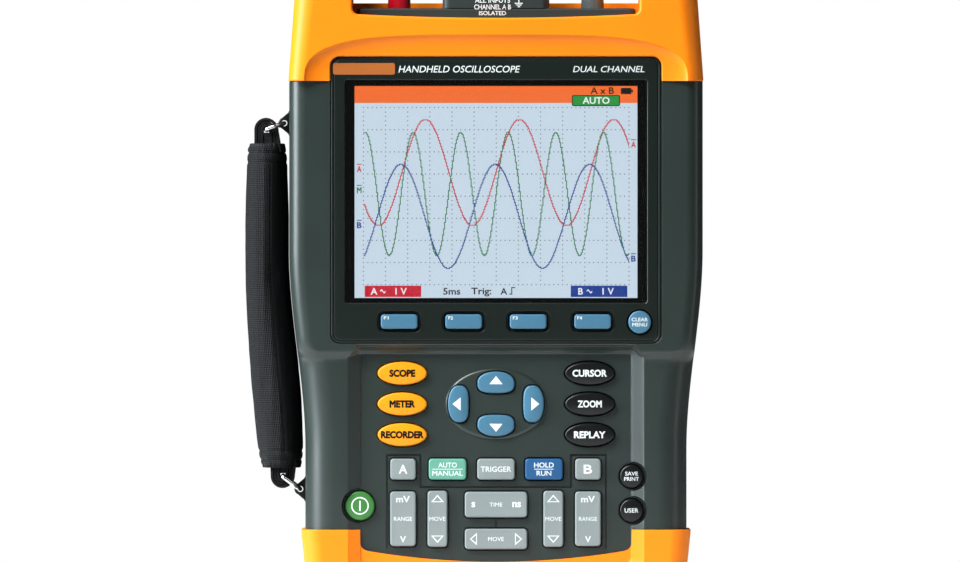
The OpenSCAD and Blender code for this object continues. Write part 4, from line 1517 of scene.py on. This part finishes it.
HINGE_IN = 48.3
BOSS = 4
STAND_HALF = 46
SCREW_SEAT = -BACK + 2.4
FEET = [(side * x, y) for side in SIDES for x, y in ((60, 12), (64, 222))]
FOOT_PROFILE = [(4.9, 0), (5.0, 0.1), (5.0, 1.2), (4.8, 1.6), (4.3, 1.9), (3.4, 2.0), (2.0, 1.98),
                (0.6, 1.96)]
WELL_PROFILE = [(1.7, 5), (1.7, SCREW_SEAT), (3.0, SCREW_SEAT - 0.02), (3.0, -BACK + 0.5),
                (3.15, -BACK + 0.12), (3.5, -BACK), (3.5, -FAR)]
SCREW_PROFILE = [(1.5, 10), (1.5, SCREW_SEAT), (2.75, SCREW_SEAT - 0.02), (2.75, SCREW_SEAT - 1.3),
                 (2.5, SCREW_SEAT - 1.75), (1.95, SCREW_SEAT - 2.0)]


def spot_group(name, spots, profile, look=None, count=32):
    """The same turned piece at several places: profile is (radius, depth) pairs."""
    return [stepped(name, disc(0, x, y, count), profile, look) for x, y in spots]


def hinge_boss(body, side):
    """Round boss with a square root that holds one end of the stand's hinge."""
    low, high = sorted((side * HINGE_IN, side * (HINGE_IN + BOSS)))
    fuse(body, rod_x(low, high, HINGE_HIGH, -HINGE_BACK, 2.3, 0.5))
    fuse(body, block(box(low, high, HINGE_HIGH - 2.6, HINGE_HIGH + 2.6), -HINGE_BACK, -BACK + 1.2))


def rear_case():
    """Rear shell with its battery pocket, stand bosses, screw wells and side ports."""
    full = case_loft(CASE_LOW + 1, CASE_HIGH - 1, 0)
    trim(full, block(box(-BEYOND, BEYOND, LOW_SEAM + SEAM, HIGH_SEAM - SEAM), -FAR, FAR))
    body = case_loft(CASE_LOW, CASE_HIGH, BUMPER_WALL)
    fuse(body, full)
    cut(body, case_cavity())
    above = slab(PART_DEPTH - 0.22, FAR)
    cut(above, seam_step(1.3, PART_DEPTH + 1.2))
    cut(body, above)
    for side in SIDES:
        hinge_boss(body, side)
    cover = place("battery_cover")
    pocket = [(0.45, -FAR), (0.45, -BACK), (0.2, 0.15 - BACK), (0, 0.5 - BACK), (0, 1.2 - BACK)]
    pocket_outline = panel(cover.width + 0.4, cover.height + 0.4, 2.2, cover.x, cover.mid, 6)
    cut(body, stepped("cutter", pocket_outline, pocket))
    opening = rounded(cover.width - 3, cover.height - 2, 1, 4, cover.x, cover.mid)
    cut(body, block(opening, -FAR, -BACK + 2.8))
    cut(body, rod_x(-HINGE_IN + 0.1, HINGE_IN - 0.1, HINGE_HIGH, -HINGE_BACK, 2.5))
    cut(body, joined("wells", spot_group("cutter", SCREWS, WELL_PROFILE)))
    cut(body, rod_x(70, FAR * 2, place("dc_jack").mid, INPUT_DEPTH, 4.6))
    port = place("optical_port").mid
    cut(body, block(box(70, FAR * 2, port - 4.2, port + 4.2), INPUT_DEPTH - 6.2, INPUT_DEPTH + 6.2))
    for h in reversed(EYES):
        for side in SIDES:
            low, high = sorted((side * (half_width(h) - 6), side * 2 * FAR))
            cut(body, rod_x(low, high, h, SIDE_DEPTH, 3))
    finish_piece(body, "rear_case")


def battery_cover():
    """Cover with rounded edges and three grip slots at each end."""
    spot = place("battery_cover")
    rear = spot.rear
    profile = [(-0.45, rear + 0.001), (-0.2, rear + 0.1), (0, rear + 0.45), (0, rear + 1.2),
               (-1.6, rear + 1.22), (-1.6, spot.front)]
    cover = stepped("battery_cover", panel(spot.width, spot.height, 2.0, spot.x, spot.mid, 6), profile, CASE)
    grip = [(0.3, -FAR), (0.3, rear), (0, rear + 0.7)]
    slots = [stepped("cutter", panel(18, 1.1, 0.5, spot.x, h + lane, 5), grip)
             for h in (spot.low + 10, spot.high - 10) for lane in (0, 3, -3)]
    cut(cover, joined("slots", slots))
    finish_piece(cover, "battery_cover")


def tilt_stand():
    """Flap with rounded lower corners, three long openings, a finger notch and a round hinge bar."""
    rear, low = place("tilt_stand").rear, place("tilt_stand").low

    def outline(g):
        notch = [(0, low + 2.4 - g), (9, low + 2.2 - g), (12.5, low - g)]
        corner = arc(STAND_HALF - 9, low + 9, 9 + g, -90, 90, 10)
        return both_sides(notch + corner + [(STAND_HALF + g, HINGE_HIGH - 1)])
    profile = [(-0.6, rear), (-0.25, rear + 0.15), (0, rear + 0.6), (0, -27.9), (-0.2, -27.5), (-0.5, -27.3)]
    flap = stepped("tilt_stand", outline, profile, CASE)
    fuse(flap, rod_x(-STAND_HALF - 2, STAND_HALF + 2, HINGE_HIGH, -HINGE_BACK, 2.1, 0.4))
    slot = [(0.45, -FAR), (0.45, rear - 0.01), (0.1, rear + 0.25), (0, rear + 0.6), (0, FAR)]
    cut(flap, joined("slots", [stepped("cutter", panel(9, 62, 4, lane, 78), slot) for lane in (-24, 0, 24)]))
    rib = [(0, rear + 0.5), (0, rear - 0.15), (-0.2, rear - 0.3)]
    ribs = [stepped("rib", panel(22, 0.9, 0.4, 0, low + 6.2 + 1.7 * k, 5), rib) for k in range(5)]
    fuse(flap, joined("ribs", ribs))
    bores = [rod_x(x - 10, x + 10, HINGE_HIGH, -HINGE_BACK, 1.25) for x in (-46.5, 46.5)]
    cut(flap, joined("bores", bores))
    finish_piece(flap, "tilt_stand", "stand")


def rear_feet():
    front = place("rear_feet").front
    profile = [(radius, front - off) for radius, off in FOOT_PROFILE]
    finish_piece(joined("rear_feet", spot_group("foot", FEET, profile, FOOT, 40)), "rear_feet")


def case_screws():
    heads = spot_group("screw", SCREWS, SCREW_PROFILE, SCREW)
    for head, (x, y) in zip(heads, SCREWS):
        cut(head, block(circle(1.3, 6, x, y), -FAR, -BACK + 1.6))
    finish_piece(joined("case_screws", heads), "case_screws")


for name in KEYS:
    add_legend(name, make_key(name))
front_case()
rear_case()
top_bumper()
bottom_bumper()
display_bezel()
display()
bezel_prints()
input_plate()
raised_block()
coax_shell("bnc_shell_a", RED)
coax_shell("bnc_shell_b", GREY)
socket_body("banana_jack_red", RED)
socket_body("banana_jack_black", BLACK)
battery_cover()
tilt_stand()
rear_feet()
case_screws()
strap_lugs()
strap_rings()
strap_webbing()
strap_sleeve()


# ---- finishes of the CAD nodes that keep their own shape ----

NODE_LOOKS = {
    "display_window": WINDOW, "bnc_cores": NICKEL, "main_board": BOARD, "keypad_board": BOARD,
    "keypad_mat": MAT, "input_shield": TIN, "battery_pack": WRAP, "stand_pins": PIN,
    "strap_inserts": BRASS, "dc_jack": BLACK, "optical_port": LENS}
for name, look in NODE_LOOKS.items():
    for holder in frame["nodes"][name].material_slots:
        holder.material = look


# ---- camera, floor and light ----

VIEW_DISTANCE = 6.0
VIEW_WIDTH = 0.3901
VIEW_X, VIEW_HIGH = -0.0065, 0.1235
SENSOR = 36
AIM = (0, 0, 0.13)
FLOOR_SIZE = 0.88
ROOM_GREY = (0.07, 0.075, 0.08, 1)
WHITE = (1, 1, 1, 1)


def area_light(name, where, size, power, tall=None, colour=(1, 1, 1)):
    """Soft light aimed at the object, itself out of the camera's sight."""
    data = bpy.data.lights.new(name, "AREA")
    data.energy = power
    data.color = colour
    data.size = size
    if tall:
        data.shape = "RECTANGLE"
        data.size_y = tall
    lamp = add(name, data)
    lamp.location = where
    lamp.rotation_euler = (Vector(AIM) - Vector(where)).to_track_quat("-Z", "Y").to_euler()
    lamp.visible_camera = False


def set_camera():
    data = bpy.data.cameras.new("camera")
    data.sensor_width = SENSOR
    data.lens = SENSOR * VIEW_DISTANCE / VIEW_WIDTH
    camera = add("camera", data)
    camera.location = (VIEW_X, -FACE * MM - VIEW_DISTANCE, VIEW_HIGH)
    camera.rotation_euler = (math.radians(90), 0, 0)
    bpy.context.scene.camera = camera
    bpy.context.scene.view_settings.view_transform = "Standard"


def lay_floor():
    look, tree, shader = new_material("pale floor")
    feed(tree, shader, Base_Color=(0.75, 0.75, 0.75, 1), Roughness=0.9, Emission_Color=WHITE,
         Emission_Strength=0.12)
    mesh = bpy.data.meshes.new("floor")
    rim = oval(FLOOR_SIZE, FLOOR_SIZE, 96)
    mesh.from_pydata([(x, y, 0) for x, y in rim], [], [tuple(range(len(rim)))])
    mesh.materials.append(look)
    add("floor", mesh)


def set_world():
    """White behind the object, and a dim room for everything that it reflects."""
    world = bpy.data.worlds.new("studio")
    bpy.context.scene.world = world
    world.use_nodes = True
    tree = world.node_tree
    tree.nodes.clear()
    rays = add_node(tree, "LightPath").outputs["Is Camera Ray"]
    room = add_node(tree, "Background", Color=ROOM_GREY).outputs[0]
    sweep = add_node(tree, "Background", Color=WHITE).outputs[0]
    which = tree.nodes.new("ShaderNodeMixShader")
    for socket, output in zip(which.inputs, (rays, room, sweep)):
        tree.links.new(output, socket)
    add_node(tree, "OutputWorld", Surface=which.outputs[0])


set_camera()
lay_floor()
set_world()
area_light("left softbox", (-1.35, -0.35, 0.66), 0.75, 66, tall=1.2, colour=(0.88, 0.95, 1.0))
area_light("high softbox", (-1.2, -1.25, 1.85), 1.0, 104)
area_light("right edge strip", (1.25, -0.3, 0.4), 0.16, 1.6, tall=1.2)
